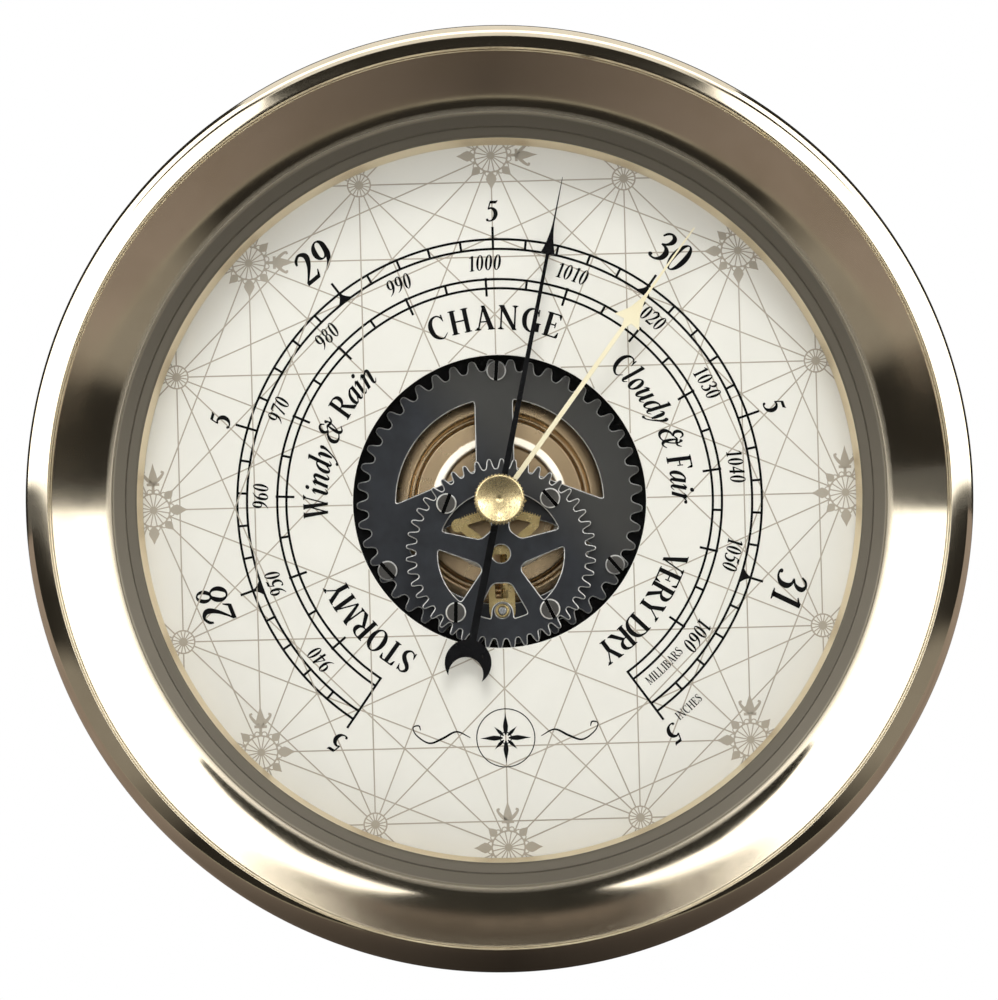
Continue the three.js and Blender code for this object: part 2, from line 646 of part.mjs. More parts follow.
function pointerOutline() {
  const crescent = { radius: 4.1, centre: -28.9, bite: 3.05, biteCentre: -31.0 };
  const right = [
    [0.12, HAND.length],
    [0.16, 49.5],
    [0.3, 48.0],
    [0.55, 46.6],
    [0.9, 45.3],
    [1.25, 44.2],
    [0.3, 43.9],
    [0.32, 40],
    [0.55, 2.4],
    ...arc(2.5, 70, -70, 8),
    [0.6, -2.5],
    [0.67, -24.85],
    ...arc(crescent.radius, 76, -43.8, 10, [0, crescent.centre]),
  ];
  const bite = arc(crescent.bite, -10, 190, 14, [0, crescent.biteCentre]);
  const left = right.map(([x, z]) => [-x, z]).reverse();
  return [...right, ...bite, ...left];
}
add(
  "indicating_hand",
  plate(pointerOutline(), [circle(1.55, 12)], HAND.back, HAND.front),
  blackEnamel,
  handGroup,
);

// ---------------------------------------------------------------- set hand and its knob

const setGroup = new THREE.Group();
setGroup.rotation.y = rad(SET_HAND.restAngle);
barometer.add(setGroup);

function setHandOutline() {
  const right = [
    [0.12, SET_HAND.length],
    [0.24, 44.5],
    [0.45, 43.0],
    [1.1, 40.8],
    [2.6, 38.4],
    [0.75, 38.6],
    [0.38, 37.4],
    [0.45, 3],
    ...arc(2.4, 75, -90, 10),
  ];
  const left = right.slice(0, -1).map(([x, z]) => [-x, z]).reverse();
  return [...right, ...left];
}
add(
  "set_hand",
  plate(setHandOutline(), [circle(1.35, 12)], SET_HAND.back, SET_HAND.front),
  creamEnamel,
  setGroup,
);
const setArbor = [
  [0, 26.6],
  [1.25, 26.6],
  [1.25, 27.6],
  [1.95, 27.6],
  [1.95, 31.5],
  [1.2, 31.5],
  [1.2, 34.5],
  [0, 34.5],
];
add("set_arbor", turned(setArbor, SMALL_SEGMENTS), brass, setGroup);
add("set_spring_washer", tube(2.1, 3.6, 31.15, 31.5, 20), steel, setGroup);

function knob() {
  const outline = [];
  for (let i = 0; i < KNOB.flutes; i++) {
    const pitch = 360 / KNOB.flutes;
    outline.push(polar(KNOB.radius, (i + 0.3) * pitch));
    outline.push(polar(KNOB.radius - KNOB.fluteDepth, (i + 0.8) * pitch));
  }
  const grip = plate(outline, [], 34, KNOB.front - 0.7);
  const neck = rod(3.2, KNOB.back, 34.5, 20);
  const face = turned([[0, 38], [4.15, 38], [4.15, KNOB.front - 0.5], [3.7, KNOB.front], [0, KNOB.front]], 28);
  const dish = turned([[0, 39.1], [1.8, 39.2], [3.3, KNOB.front + 0.1], [0, KNOB.front + 1]], 24);
  const bore = rod(1.3, KNOB.back - 1, 34.7, 16);
  return cut(join(grip, neck, face), dish, bore);
}
add("set_knob", knob(), brass, setGroup);

// ---------------------------------------------------------------- calibration screw

const adjuster = turned(
  [[0, 1.9], [ADJUSTER.headRadius, 1.9], [ADJUSTER.headRadius, 3.2], [1.25, 3.2], [1.25, 5.1], [0, 5.1]],
  SMALL_SEGMENTS,
);
const adjusterSlot = new THREE.BoxGeometry(6, 1.2, 0.6).translate(0, -1.9, 0);
add("adjusting_screw", cut(adjuster, adjusterSlot), steel).position.z = ADJUSTER.z;

export default barometer;
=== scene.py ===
"""A round wall aneroid barometer: polished brass case, printed weather dial with an open centre,
black movement plates, bronze capsule, black pointer and a cream set hand on a brass knob.

Lengths are millimetres until they reach a mesh. "Depth" is the distance in front of the wall,
so a depth d lies at y = -d. Clock angles run clockwise from the top of the dial.
"""

import math

import bmesh
import bpy
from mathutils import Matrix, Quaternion, Vector


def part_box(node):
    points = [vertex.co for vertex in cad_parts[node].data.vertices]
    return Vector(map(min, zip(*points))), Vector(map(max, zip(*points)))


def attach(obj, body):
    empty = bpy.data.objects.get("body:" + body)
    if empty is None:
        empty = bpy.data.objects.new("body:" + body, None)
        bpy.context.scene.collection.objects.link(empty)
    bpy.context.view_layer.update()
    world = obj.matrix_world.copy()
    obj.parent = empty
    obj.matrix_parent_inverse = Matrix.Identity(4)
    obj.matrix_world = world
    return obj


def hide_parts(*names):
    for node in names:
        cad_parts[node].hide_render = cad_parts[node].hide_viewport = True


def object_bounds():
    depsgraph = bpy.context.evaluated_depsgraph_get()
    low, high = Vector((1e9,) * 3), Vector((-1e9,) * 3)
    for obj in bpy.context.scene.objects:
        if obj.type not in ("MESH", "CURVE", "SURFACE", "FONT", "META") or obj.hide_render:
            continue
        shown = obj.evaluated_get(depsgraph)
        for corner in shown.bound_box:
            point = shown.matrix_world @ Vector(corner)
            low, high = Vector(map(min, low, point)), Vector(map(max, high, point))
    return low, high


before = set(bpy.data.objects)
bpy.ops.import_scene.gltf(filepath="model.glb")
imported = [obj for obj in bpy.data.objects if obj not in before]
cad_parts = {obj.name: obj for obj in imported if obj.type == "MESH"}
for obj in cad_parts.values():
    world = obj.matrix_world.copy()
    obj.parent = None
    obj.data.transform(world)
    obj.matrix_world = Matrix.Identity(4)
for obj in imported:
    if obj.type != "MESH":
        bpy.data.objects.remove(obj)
cad_low, cad_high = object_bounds()

MM = 0.001


# ---------------------------------------------------------------- sizes taken from the frame

def reach(node):
    """(largest radius or half width, back depth, front depth) of a CAD node, in millimetres."""
    low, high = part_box(node)
    return max(high.x, -low.x) / MM, -high.y / MM, -low.y / MM


LIP_RADIUS, _, CASE_DEPTH = reach("bezel")
GLASS_RADIUS, GLASS_BACK, GLASS_FRONT = reach("glass")
DIAL_RADIUS, DIAL_BACK, DIAL_FRONT = reach("dial_plate")
MAIN_TIP, MAIN_BACK, MAIN_FRONT = reach("main_plate")
FRONT_TIP, FRONT_BACK, FRONT_FRONT = reach("front_plate")
HAND_BACK, HAND_FRONT = reach("indicating_hand")[1:]
SET_BACK, SET_FRONT = reach("set_hand")[1:]
KNOB_RADIUS, _, KNOB_FRONT = reach("set_knob")

APERTURE = 25.7  # radius of the dial's opening
HAND_ANGLE = 12.5  # clock angles of the two hands at rest
SET_ANGLE = 37.0
FRONT_CENTRE_Z = -9.15  # the front plate's middle, below the dial's
PIVOT_Z = -19.2  # the sector's pivot


# ---------------------------------------------------------------- mesh tools

def polar(radius, degrees):
    """A point at a polar angle counter-clockwise from +X."""
    a = math.radians(degrees)
    return radius * math.cos(a), radius * math.sin(a)


def clock(radius, degrees):
    """A point at a clock angle."""
    a = math.radians(degrees)
    return radius * math.sin(a), radius * math.cos(a)


def arc(radius, start, end, steps, centre=(0, 0)):
    points = [polar(radius, start + (end - start) * i / steps) for i in range(steps + 1)]
    return [(x + centre[0], z + centre[1]) for x, z in points]


def circle(radius, steps=64, centre=(0, 0)):
    return arc(radius, 0, 360, steps, centre)[:-1]


def rounded(corners):
    """A closed outline whose corners (x, z, radius) are rounded; two-number corners stay sharp."""
    points, steps = [], 5
    for i, corner in enumerate(corners):
        here = Vector(corner[:2])
        radius = corner[2] if len(corner) > 2 else 0
        if not radius:
            points.append(tuple(here))
            continue
        before = Vector(corners[i - 1][:2]) - here
        after = Vector(corners[(i + 1) % len(corners)][:2]) - here
        a = here + before.normalized() * min(radius, before.length / 2)
        b = here + after.normalized() * min(radius, after.length / 2)
        for k in range(steps + 1):
            t = k / steps
            points.append(tuple(a * (1 - t) ** 2 + here * 2 * t * (1 - t) + b * t ** 2))
    return points


def add_object(name, data):
    obj = bpy.data.objects.new(name, data)
    bpy.context.scene.collection.objects.link(obj)
    return obj


def finish_piece(obj, body, material, replaces=()):
    obj.data.materials.clear()
    obj.data.materials.append(material)
    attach(obj, body)
    if replaces:
        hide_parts(*replaces)
    return obj


def mesh_object(name, points, faces, sharp=30):
    """A mesh from (x, z, depth) points, shaded smooth except across edges sharper than `sharp`."""
    mesh = bpy.data.meshes.new(name)
    mesh.from_pydata([(x * MM, -depth * MM, z * MM) for x, z, depth in points], [], faces)
    mesh.validate()
    mesh.shade_smooth()
    mesh.set_sharp_from_angle(angle=math.radians(sharp))
    return add_object(name, mesh)


def eased(profile, radius):
    """The closed profile with each sharp corner turned into a small round."""
    out, steps = [], 4
    count = len(profile)
    for i, point in enumerate(profile):
        here = Vector(point)
        before, after = Vector(profile[i - 1]) - here, Vector(profile[(i + 1) % count]) - here
        turn = math.degrees(before.angle(-after)) if before.length and after.length else 0
        if turn < 25 or here.x < 1e-6:
            out.append(tuple(here))
            continue
        a = here + before.normalized() * min(radius, before.length * 0.45)
        b = here + after.normalized() * min(radius, after.length * 0.45)
        for k in range(steps + 1):
            t = k / steps
            out.append(tuple(a * (1 - t) ** 2 + here * 2 * t * (1 - t) + b * t ** 2))
    return out


def held(profile, loop):
    """The profile with extra points near the ends of long stretches, so that flats shade flat."""
    out, margin = [], 0.12
    for i, point in enumerate(profile):
        out.append(tuple(point))
        if i == len(profile) - 1 and not loop:
            break
        here, there = Vector(point), Vector(profile[(i + 1) % len(profile)])
        length = (there - here).length
        if length > 5 * margin:
            out.append(tuple(here.lerp(there, margin / length)))
            out.append(tuple(here.lerp(there, 1 - margin / length)))
    return out


def ring_faces(rings, closed=False):
    """Faces between successive rings of point numbers; a ring of one point is the tip of a fan."""
    faces = []
    for lower, upper in list(zip(rings, rings[1:])) + ([(rings[-1], rings[0])] if closed else []):
        count = max(len(lower), len(upper))
        for k in range(count if count > 1 else 0):
            n = (k + 1) % count
            if len(lower) == 1:
                faces.append((lower[0], upper[k], upper[n]))
            elif len(upper) == 1:
                faces.append((lower[k], upper[0], lower[n]))
            else:
                faces.append((lower[k], upper[k], upper[n], lower[n]))
    return faces


def turned(name, profile, body, material, replaces=(), segments=288, ease=0.12, centre=(0, 0)):
    """A turned piece from a (radius, depth) profile that closes on itself or ends on the axis."""
    on_axis = profile[0][0] < 1e-6 and profile[-1][0] < 1e-6
    line = held(eased(profile, ease) if ease else profile, not on_axis)
    points, rings = [], []
    for radius, depth in line:
        if radius < 1e-6:
            rings.append([len(points)])
            points.append((centre[0], centre[1], depth))
            continue
        rings.append(list(range(len(points), len(points) + segments)))
        for k in range(segments):
            x, z = polar(radius, 360 * k / segments)
            points.append((x + centre[0], z + centre[1], depth))
    obj = mesh_object(name, points, ring_faces(rings, closed=not on_axis))
    outward(obj)
    return finish_piece(obj, body, material, replaces)


def outward(obj):
    """Turns the whole mesh round if its volume is negative."""
    mesh = obj.data
    mesh.calc_loop_triangles()
    volume = 0.0
    for tri in mesh.loop_triangles:
        a, b, c = (mesh.vertices[i].co for i in tri.vertices)
        volume += a.dot(b.cross(c))
    if volume < 0:
        mesh.flip_normals()


def flat_piece(name, outlines, back, front, body, material, replaces=(), bevel=0.1):
    """A plate cut to outlines (the first is the outside), with a fine round on every edge."""
    curve = bpy.data.curves.new(name, "CURVE")
    curve.dimensions = "2D"
    curve.fill_mode = "BOTH"
    thickness = front - back
    curve.extrude = (thickness / 2 - bevel) * MM
    curve.bevel_depth = bevel * MM
    curve.bevel_resolution = 2
    curve.offset = -bevel * MM
    for outline in outlines:
        spline = curve.splines.new("POLY")
        spline.points.add(len(outline) - 1)
        for point, (x, z) in zip(spline.points, outline):
            point.co = (x * MM, z * MM, 0, 1)
        spline.use_cyclic_u = True
    source = add_object(name + "_outline", curve)
    mesh = baked(source)
    bpy.data.objects.remove(source)
    middle = (back + front) / 2
    for vertex in mesh.vertices:
        x, z, lift = vertex.co
        vertex.co = (x, -middle * MM - lift, z)
    mesh.flip_normals()
    mesh.name = name
    obj = add_object(name, mesh)
    weld(obj)
    mesh = obj.data
    mesh.shade_smooth()
    mesh.set_sharp_from_angle(angle=math.radians(50))
    outward(obj)
    for face in mesh.polygons:  # the faces of the plate stay flat, the rounds stay smooth
        face.use_smooth = abs(face.normal.y) < 0.9999
    return finish_piece(obj, body, material, replaces)


def baked(obj):
    """The object's mesh with its modifiers or bevel worked in."""
    bpy.context.view_layer.update()
    return bpy.data.meshes.new_from_object(obj.evaluated_get(bpy.context.evaluated_depsgraph_get()))


def weld(obj):
    distance = 1e-7
    made = bmesh.new()
    made.from_mesh(obj.data)
    bmesh.ops.remove_doubles(made, verts=made.verts, dist=distance)
    bmesh.ops.dissolve_degenerate(made, dist=distance, edges=made.edges)
    made.to_mesh(obj.data)
    made.free()


def swung(outline, clock_degrees):
    """The outline turned clockwise about the dial's axis."""
    a = math.radians(clock_degrees)
    c, s = math.cos(a), math.sin(a)
    return [(x * c + z * s, -x * s + z * c) for x, z in outline]


# ---------------------------------------------------------------- material tools

class Shader:
    """The node tree of a material, or of the world; an input is a value or another node's output."""

    def __init__(self, name, owner=None):
        self.material = owner or bpy.data.materials.new(name)
        self.material.use_nodes = True
        self.tree = self.material.node_tree
        self.tree.nodes.clear()

    def node(self, kind, inputs=None, **settings):
        made = self.tree.nodes.new("ShaderNode" + kind)
        for key, value in settings.items():
            setattr(made, key, value)
        for key, value in (inputs or {}).items():
            if isinstance(value, bpy.types.NodeSocket):
                self.tree.links.new(value, made.inputs[key])
            else:
                made.inputs[key].default_value = value
        return made

    def math(self, operation, a, b=0.0):
        return self.node("Math", {0: a, 1: b}, operation=operation).outputs[0]

    def times(self, a, b):
        return self.math("MULTIPLY", a, b)

    def plus(self, a, b):
        return self.math("ADD", a, b)

    def minus(self, a, b):
        return self.math("SUBTRACT", a, b)

    def position(self):
        """Object coordinates in millimetres."""
        coordinates = self.node("TexCoord").outputs["Object"]
        scaled = self.node("VectorMath", {0: coordinates, "Scale": 1 / MM}, operation="SCALE")
        return scaled.outputs[0]

    def split(self, vector):
        return self.node("SeparateXYZ", {0: vector}).outputs

    def window(self, value, low, high, soft):
        """1 between low and high, fading to 0 over `soft` beyond or within each end."""
        return self.times(self.ramp(value, low - soft, low + soft, 0.0, 1.0),
                          self.ramp(value, high - soft, high + soft, 1.0, 0.0))

    def slope(self):
        """How squarely the ray meets the surface, from 0 when it grazes to 1."""
        geometry = self.node("NewGeometry").outputs
        inputs = {0: geometry["Incoming"], 1: geometry["Normal"]}
        product = self.node("VectorMath", inputs, operation="DOT_PRODUCT")
        return self.math("ABSOLUTE", product.outputs["Value"])

    def emission(self, colour, strength=1.0):
        return self.node("Emission", {"Color": colour, "Strength": strength}).outputs[0]

    def mixed(self, share, first, second):
        """Two shaders mixed."""
        return self.node("MixShader", {0: share, 1: first, 2: second}).outputs[0]

    def radius(self, position):
        parts = self.split(position)
        flat = self.node("CombineXYZ", {0: parts[0], 1: 0.0, 2: parts[2]}).outputs[0]
        return self.node("VectorMath", {0: flat}, operation="LENGTH").outputs["Value"]

    def noise(self, vector, scale, detail=3.0, roughness=0.5, dimensions="3D"):
        inputs = {"Scale": scale, "Detail": detail, "Roughness": roughness}
        inputs["W" if dimensions == "1D" else "Vector"] = vector
        return self.node("TexNoise", inputs, noise_dimensions=dimensions).outputs["Fac"]

    def ramp(self, value, low, high, to_low, to_high):
        """The value stretched from low..high to to_low..to_high, held at both ends."""
        inputs = {"Value": value, "From Min": low, "From Max": high, "To Min": to_low, "To Max": to_high}
        return self.node("MapRange", inputs).outputs["Result"]

    def blend(self, share, first, second):
        inputs = {0: share, 6: first, 7: second}
        return self.node("Mix", inputs, data_type="RGBA").outputs[2]

    def bump(self, height, distance_mm):
        return self.node("Bump", {"Height": height, "Distance": distance_mm * MM}).outputs[0]

    def surface(self, inputs):
        principled = self.node("BsdfPrincipled", inputs)
        self.output(principled.outputs[0])
        return self.material

    def output(self, socket, kind="OutputMaterial"):
        self.node(kind, {"Surface": socket})


def rgb(*channels):
    return (*channels, 1.0)


def turned_metal(name, colour, tarnish, roughness, groove=0.0006, anisotropy=0.5, smudge=0.05,
                 shaded_inside=None, highlight_ring=None):
    """Metal finished on a lathe: fine rings in the surface, slow smudges and a little tarnish.
    Inside the radius `shaded_inside` it is painted darker, duller and less metallic, a painted shade;
    between the two radii of `highlight_ring` it is painted almost white, a painted highlight."""
    s = Shader(name)
    position = s.position()
    radius = s.radius(position)
    rings = s.noise(radius, 5.0, 6.0, 0.75, "1D")
    cloud = s.noise(position, 0.055, 4.0, 0.6)
    specks = s.noise(position, 1.4, 2.0, 0.5)
    spots = s.ramp(specks, 0.70, 0.78, 0.0, 1.0)
    stain = s.math("MAXIMUM", s.ramp(cloud, 0.45, 0.75, 0.0, 0.45), s.times(spots, 0.5))
    rough = s.plus(s.ramp(cloud, 0.35, 0.7, roughness, roughness + smudge),
                   s.times(rings, 0.02))
    height = s.plus(rings, s.times(s.noise(position, 0.6, 2.0), 0.6))
    base, metallic = s.blend(stain, rgb(*colour), rgb(*tarnish)), 1.0
    # Painted shade: inside this radius the polished metal is painted darker, duller and less metallic.
    if shaded_inside:
        satin = s.ramp(radius, shaded_inside - 1.3, shaded_inside + 0.3, 1.0, 0.0)
        base = s.blend(satin, base, rgb(0.13, 0.115, 0.088))
        metallic = s.minus(1.0, s.times(satin, 0.45))
        rough = s.plus(rough, s.times(satin, 0.35))
    # Painted highlight: between these radii the metal is painted almost white and less metallic.
    if highlight_ring:
        pale = s.window(radius, *highlight_ring, 0.15)
        base = s.blend(pale, base, rgb(1.0, 0.90, 0.76))
        metallic = s.minus(1.0, s.times(pale, 0.7))
    return s.surface({
        "Base Color": base,
        "Metallic": metallic,
        "Roughness": rough,
        "Anisotropic": anisotropy,
        "Tangent": s.node("Tangent", direction_type="RADIAL", axis="Y").outputs[0],
        "Normal": s.bump(height, groove),
    })


def plain_metal(name, colour, worn, roughness):
    """Sheet or bar metal with a cloudy surface and a light grain."""
    s = Shader(name)
    position = s.position()
    cloud = s.noise(position, 0.7, 4.0, 0.6)
    grit = s.noise(position, 18.0, 3.0, 0.6)
    return s.surface({
        "Base Color": s.blend(s.ramp(cloud, 0.3, 0.75, 0.0, 1.0), rgb(*colour), rgb(*worn)),
        "Metallic": 1.0,
        "Roughness": s.ramp(cloud, 0.3, 0.7, roughness * 0.85, roughness * 1.25),
        "Normal": s.bump(grit, 0.004),
    })


def blackened_steel(name, colour, worn, roughness, painted_sheen=None, shaded_depths=()):
    """Steel blackened all over, with its rounded edges painted pale: partly worn bare metal and partly a
    painted highlight. It lightens to the colour `painted_sheen` towards the right, a painted sheen;
    `shaded_depths` are (low, high) depths painted near black, a painted shade."""
    s = Shader(name)
    position = s.position()
    cloud = s.noise(position, 0.25, 4.0, 0.6)
    stretched = s.node("VectorMath", {0: position, 1: (9.0, 1.0, 0.6)}, operation="MULTIPLY").outputs[0]
    brushed = s.noise(stretched, 1.0, 3.0, 0.6)
    normal = s.node("NewGeometry").outputs["True Normal"]
    facing = s.math("ABSOLUTE", s.split(normal)[1])
    # Painted highlight, partly wear: the rounded edges get a pale, less metallic base colour.
    edge = s.times(s.ramp(facing, 0.95, 0.985, 1.0, 0.0), s.ramp(facing, 0.15, 0.3, 0.0, 1.0))
    worn_edge_highlight = s.times(edge, s.ramp(s.noise(position, 0.8, 2.0), 0.3, 0.6, 0.7, 1.0))
    dark = s.blend(s.ramp(cloud, 0.3, 0.7, 0.0, 1.0), rgb(*colour), rgb(*worn))
    parts = s.split(position)
    # Painted sheen: the blackening turns lighter towards the right.
    if painted_sheen:
        dark = s.blend(s.ramp(s.plus(parts[0], parts[2]), 2.0, 14.0, 0.0, 1.0), dark, rgb(*painted_sheen))
    depth = s.times(parts[1], -1.0)
    # Painted shade: at these depths the surface is painted near black.
    for low, high in shaded_depths:
        slot_shade = s.times(s.math("GREATER_THAN", depth, low), s.math("LESS_THAN", depth, high))
        dark = s.blend(slot_shade, dark, rgb(0.003, 0.003, 0.003))
        worn_edge_highlight = s.times(worn_edge_highlight, s.minus(1.0, slot_shade))
    return s.surface({
        "Base Color": s.blend(worn_edge_highlight, dark, rgb(0.80, 0.79, 0.77)),
        "Metallic": s.minus(0.92, s.times(worn_edge_highlight, 0.5)),
        "Roughness": s.ramp(brushed, 0.3, 0.7, roughness * 0.95, roughness * 1.08),
        "Normal": s.bump(brushed, 0.0002),
    })


def speckled_brass(name, colour, dirt, roughness):
    """Old lacquered brass with dark specks and a mottled skin."""
    s = Shader(name)
    position = s.position()
    fine = s.ramp(s.noise(position, 2.6, 5.0, 0.7), 0.50, 0.66, 0.0, 0.9)
    broad = s.ramp(s.noise(position, 0.5, 3.0, 0.6), 0.35, 0.7, 0.15, 1.0)
    return s.surface({
        "Base Color": s.blend(s.times(fine, broad), rgb(*colour), rgb(*dirt)),
        "Metallic": 0.9,
        "Roughness": s.ramp(fine, 0.0, 0.9, roughness, roughness + 0.25),
        "Normal": s.bump(fine, -0.01),
    })


def paint(name, colour, shade, roughness, texture=3.0, bump=0.002, gloss=0.5):
    """`gloss` is the strength of its mirror-like skin."""
    s = Shader(name)
    position = s.position()
    mottle = s.noise(position, 0.12, 4.0, 0.55)
    tooth = s.noise(position, texture, 3.0, 0.6)
    return s.surface({
        "Base Color": s.blend(s.ramp(mottle, 0.3, 0.7, 0.0, 1.0), rgb(*colour), rgb(*shade)),
        "Roughness": s.ramp(tooth, 0.3, 0.7, roughness * 0.9, roughness * 1.1),
        "Specular IOR Level": gloss,
        "Normal": s.bump(tooth, bump),
    })


def clear_glass(name):
    """A thin clean pane: it lets everything through and adds a faint mirror image."""
    s = Shader(name)
    film = s.noise(s.position(), 0.08, 3.0)
    through = s.node("BsdfTransparent", {"Color": rgb(0.985, 0.99, 0.985)}).outputs[0]
    smooth = s.ramp(film, 0.3, 0.7, 0.01, 0.03)
    mirror = s.node("BsdfGlossy", {"Color": rgb(1, 1, 1), "Roughness": smooth}).outputs[0]
    grazing = s.math("POWER", s.minus(1.0, s.slope()), 5.0)
    share = s.plus(0.034, s.times(grazing, 0.9))
    leaving = s.node("NewGeometry").outputs["Backfacing"]
    s.output(s.mixed(s.times(share, s.minus(1.0, leaving)), through, mirror))
    return s.material


# Its inner band, inside 68.5 mm, carries painted shade.
POLISHED_BRASS = turned_metal("polished_brass_spun", (0.86, 0.77, 0.60), (0.66, 0.56, 0.40), 0.055,
                              shaded_inside=68.5)
DRUM_BRASS = turned_metal("polished_brass_drum", (0.80, 0.68, 0.46), (0.58, 0.46, 0.28), 0.16, 0.0012,
                          0.6, 0.08)
AGED_BRASS = turned_metal("aged_brass_turned", (0.60, 0.46, 0.22), (0.22, 0.15, 0.07), 0.3, 0.002,
                          0.6, 0.15)
SPACER_CREAM = turned_metal("spacer_gilt", (0.86, 0.74, 0.52), (0.66, 0.50, 0.30), 0.35, 0.001, 0.4, 0.1)
# The capsule's raised ring, 10.4 to 11.9 mm out, carries a painted highlight.
BRONZE = turned_metal("bronze_spun", (0.82, 0.61, 0.38), (0.56, 0.38, 0.21), 0.24, 0.002, 0.7, 0.08,
                      highlight_ring=(10.4, 11.9))
BRASS = plain_metal("brass_satin", (0.82, 0.64, 0.32), (0.68, 0.51, 0.23), 0.27)
STEEL = plain_metal("steel_brushed", (0.56, 0.57, 0.58), (0.42, 0.42, 0.43), 0.28)
# Its edges carry a painted highlight, and it lightens towards the right as a painted sheen.
BLACK_STEEL = blackened_steel("steel_blackened", (0.074, 0.078, 0.090), (0.058, 0.060, 0.067), 0.30,
                              painted_sheen=(0.115, 0.112, 0.108))
SLOT_DEPTH = 0.5
# The screw slots' floors lie at these depths and are painted near black as painted shade.
SLOT_FLOORS = [(reach(node)[2] - SLOT_DEPTH - 0.1, reach(node)[2] - SLOT_DEPTH / 2)
               for node in ("main_plate_screw_1", "front_plate_screw_1")]
SCREW_STEEL = blackened_steel("steel_screw", (0.17, 0.16, 0.15), (0.11, 0.105, 0.10), 0.34,
                              shaded_depths=SLOT_FLOORS)
KNOB_BRASS = speckled_brass("knob_speckled", (0.74, 0.60, 0.33), (0.10, 0.07, 0.03), 0.26)
BLACK_ENAMEL = paint("enamel_black", (0.005, 0.005, 0.006), (0.008, 0.008, 0.009), 0.2, 2.0, 0.001, 0.25)
CREAM_ENAMEL = paint("enamel_cream", (0.88, 0.80, 0.58), (0.82, 0.73, 0.50), 0.4)
DIAL_WHITE = paint("dial_off_white", (0.80, 0.775, 0.725), (0.775, 0.75, 0.70), 0.55, 2.5, 0.003)
INK_BLACK = paint("ink_black", (0.004, 0.004, 0.005), (0.007, 0.007, 0.007), 0.5, gloss=0.05)
INK_CHART = paint("ink_grey_brown", (0.40, 0.355, 0.295), (0.45, 0.40, 0.335), 0.55, gloss=0.2)
RUBBER = paint("rubber_black", (0.02, 0.02, 0.02), (0.03, 0.03, 0.03), 0.8, 4.0, 0.01)
GLASS = clear_glass("glass_clear")


# ---------------------------------------------------------------- case, bezel and glass

DISH = {"inner": 68.0, "outer": 78.0, "bottom": 35.0}
DISH_SLOPE = {"inner": 36.0, "outer": 43.9, "fade": 2.4}  # degrees, degrees, millimetres


def dish_points():
    """The dish starts flatter at its inner edge and steepens to a cone."""
    points = []
    radius, depth = DISH["inner"], DISH["bottom"]
    fine, between = 0.025, 10
    while radius < DISH["outer"] + 1e-6:
        points.append((radius, depth))
        for _ in range(between):
            fall = math.exp(-(radius - DISH["inner"]) / DISH_SLOPE["fade"])
            slope = DISH_SLOPE["outer"] - (DISH_SLOPE["outer"] - DISH_SLOPE["inner"]) * fall
            depth += math.tan(math.radians(slope)) * fine
            radius += fine
    return points


def make_bezel():
    dish = dish_points()
    edge = dish[-1]
    centre, fall, first = 77.3, 3.6, 76
    width = LIP_RADIUS - centre
    front = CASE_DEPTH - fall * math.sin(math.radians(first))
    lip = [(centre + width * math.cos(math.radians(a)), front + fall * math.sin(math.radians(a)))
           for a in range(first, -1, -2)]
    profile = [
        (63.4, 31.3), (63.4, 31.9), (63.7, 32.3), (65.2, 32.7), (65.4, 33.3), (67.55, 34.45),
        (67.75, 34.95),
        *dish,
        (edge[0] + 0.08, edge[1] + 0.42), (edge[0] + 0.30, edge[1] + 0.62),
        *lip,
        (82.3, 41.3), (81.7, 40.8), (80.9, 40.6),
        (79.2, dish_depth(dish, 79.2) - 2.2), (71.4, dish_depth(dish, 71.4) - 2.2),
        (70.8, 35.2), (70.8, 25), (69.5, 25), (69.5, 31.3),
    ]
    return turned("bezel_spun", profile, "case", POLISHED_BRASS, ["bezel"], 384, 0.1)


def dish_depth(dish, radius):
    for (r0, d0), (r1, d1) in zip(dish, dish[1:]):
        if r0 <= radius <= r1:
            return d0 + (d1 - d0) * (radius - r0) / (r1 - r0)
    (r0, d0), (r1, d1) = dish[-2:]
    return d1 + (d1 - d0) * (radius - r1) / (r1 - r0)


def make_case():
    make_bezel()
    pane = [(2.2, GLASS_BACK), (GLASS_RADIUS, GLASS_BACK), (GLASS_RADIUS, GLASS_FRONT), (2.2, GLASS_FRONT)]
    turned("glass_pane", pane, "case", GLASS, ["glass"], ease=0.15)
    gasket = [(63.8, 28.0), (66.2, 28.0), (66.2, 28.5), (63.8, 28.5)]
    turned("gasket_ring", gasket, "case", RUBBER, ["glass_gasket"])
    spacer = [(62.5, 21.6), (65.6, 21.6), (65.6, 27.7), (63.5, 27.7)]
    turned("spacer_turned", spacer, "case", SPACER_CREAM, ["spacer_ring"], ease=0.2)
    plate = [(APERTURE, DIAL_BACK), (DIAL_RADIUS, DIAL_BACK), (DIAL_RADIUS, DIAL_FRONT),
             (APERTURE, DIAL_FRONT)]
    turned("dial_disc", plate, "case", DIAL_WHITE, ["dial_plate"], ease=0.08)
    support = [(60, 17.2), (67.6, 17.2), (67.6, 20.2), (60, 20.2)]
    turned("dial_support", support, "case", BRASS, ["dial_support_ring"], 144)
    drum = [(58, 1.8), (69.2, 1.8), (69.2, 30.6), (67.9, 30.6), (67.9, 3.0), (58, 3.0)]
    turned("case_drum", drum, "case", DRUM_BRASS, ["case_body"], ease=0.35)
    ring = [(19.5, 13.6), (33, 13.6), (33, 14.6), (19.5, 14.6)]
    turned("movement_disc", ring, "case", BLACK_ENAMEL, ["movement_ring"], ease=0.08)


def keyhole(growth):
    half, eye = 2.0 + growth, 4.5 + growth
    opening = math.degrees(math.asin(half / eye))
    return arc(half, 0, 180, 16, (0, 52)) + arc(eye, 90 + opening, 450 - opening, 40, (0, 44))


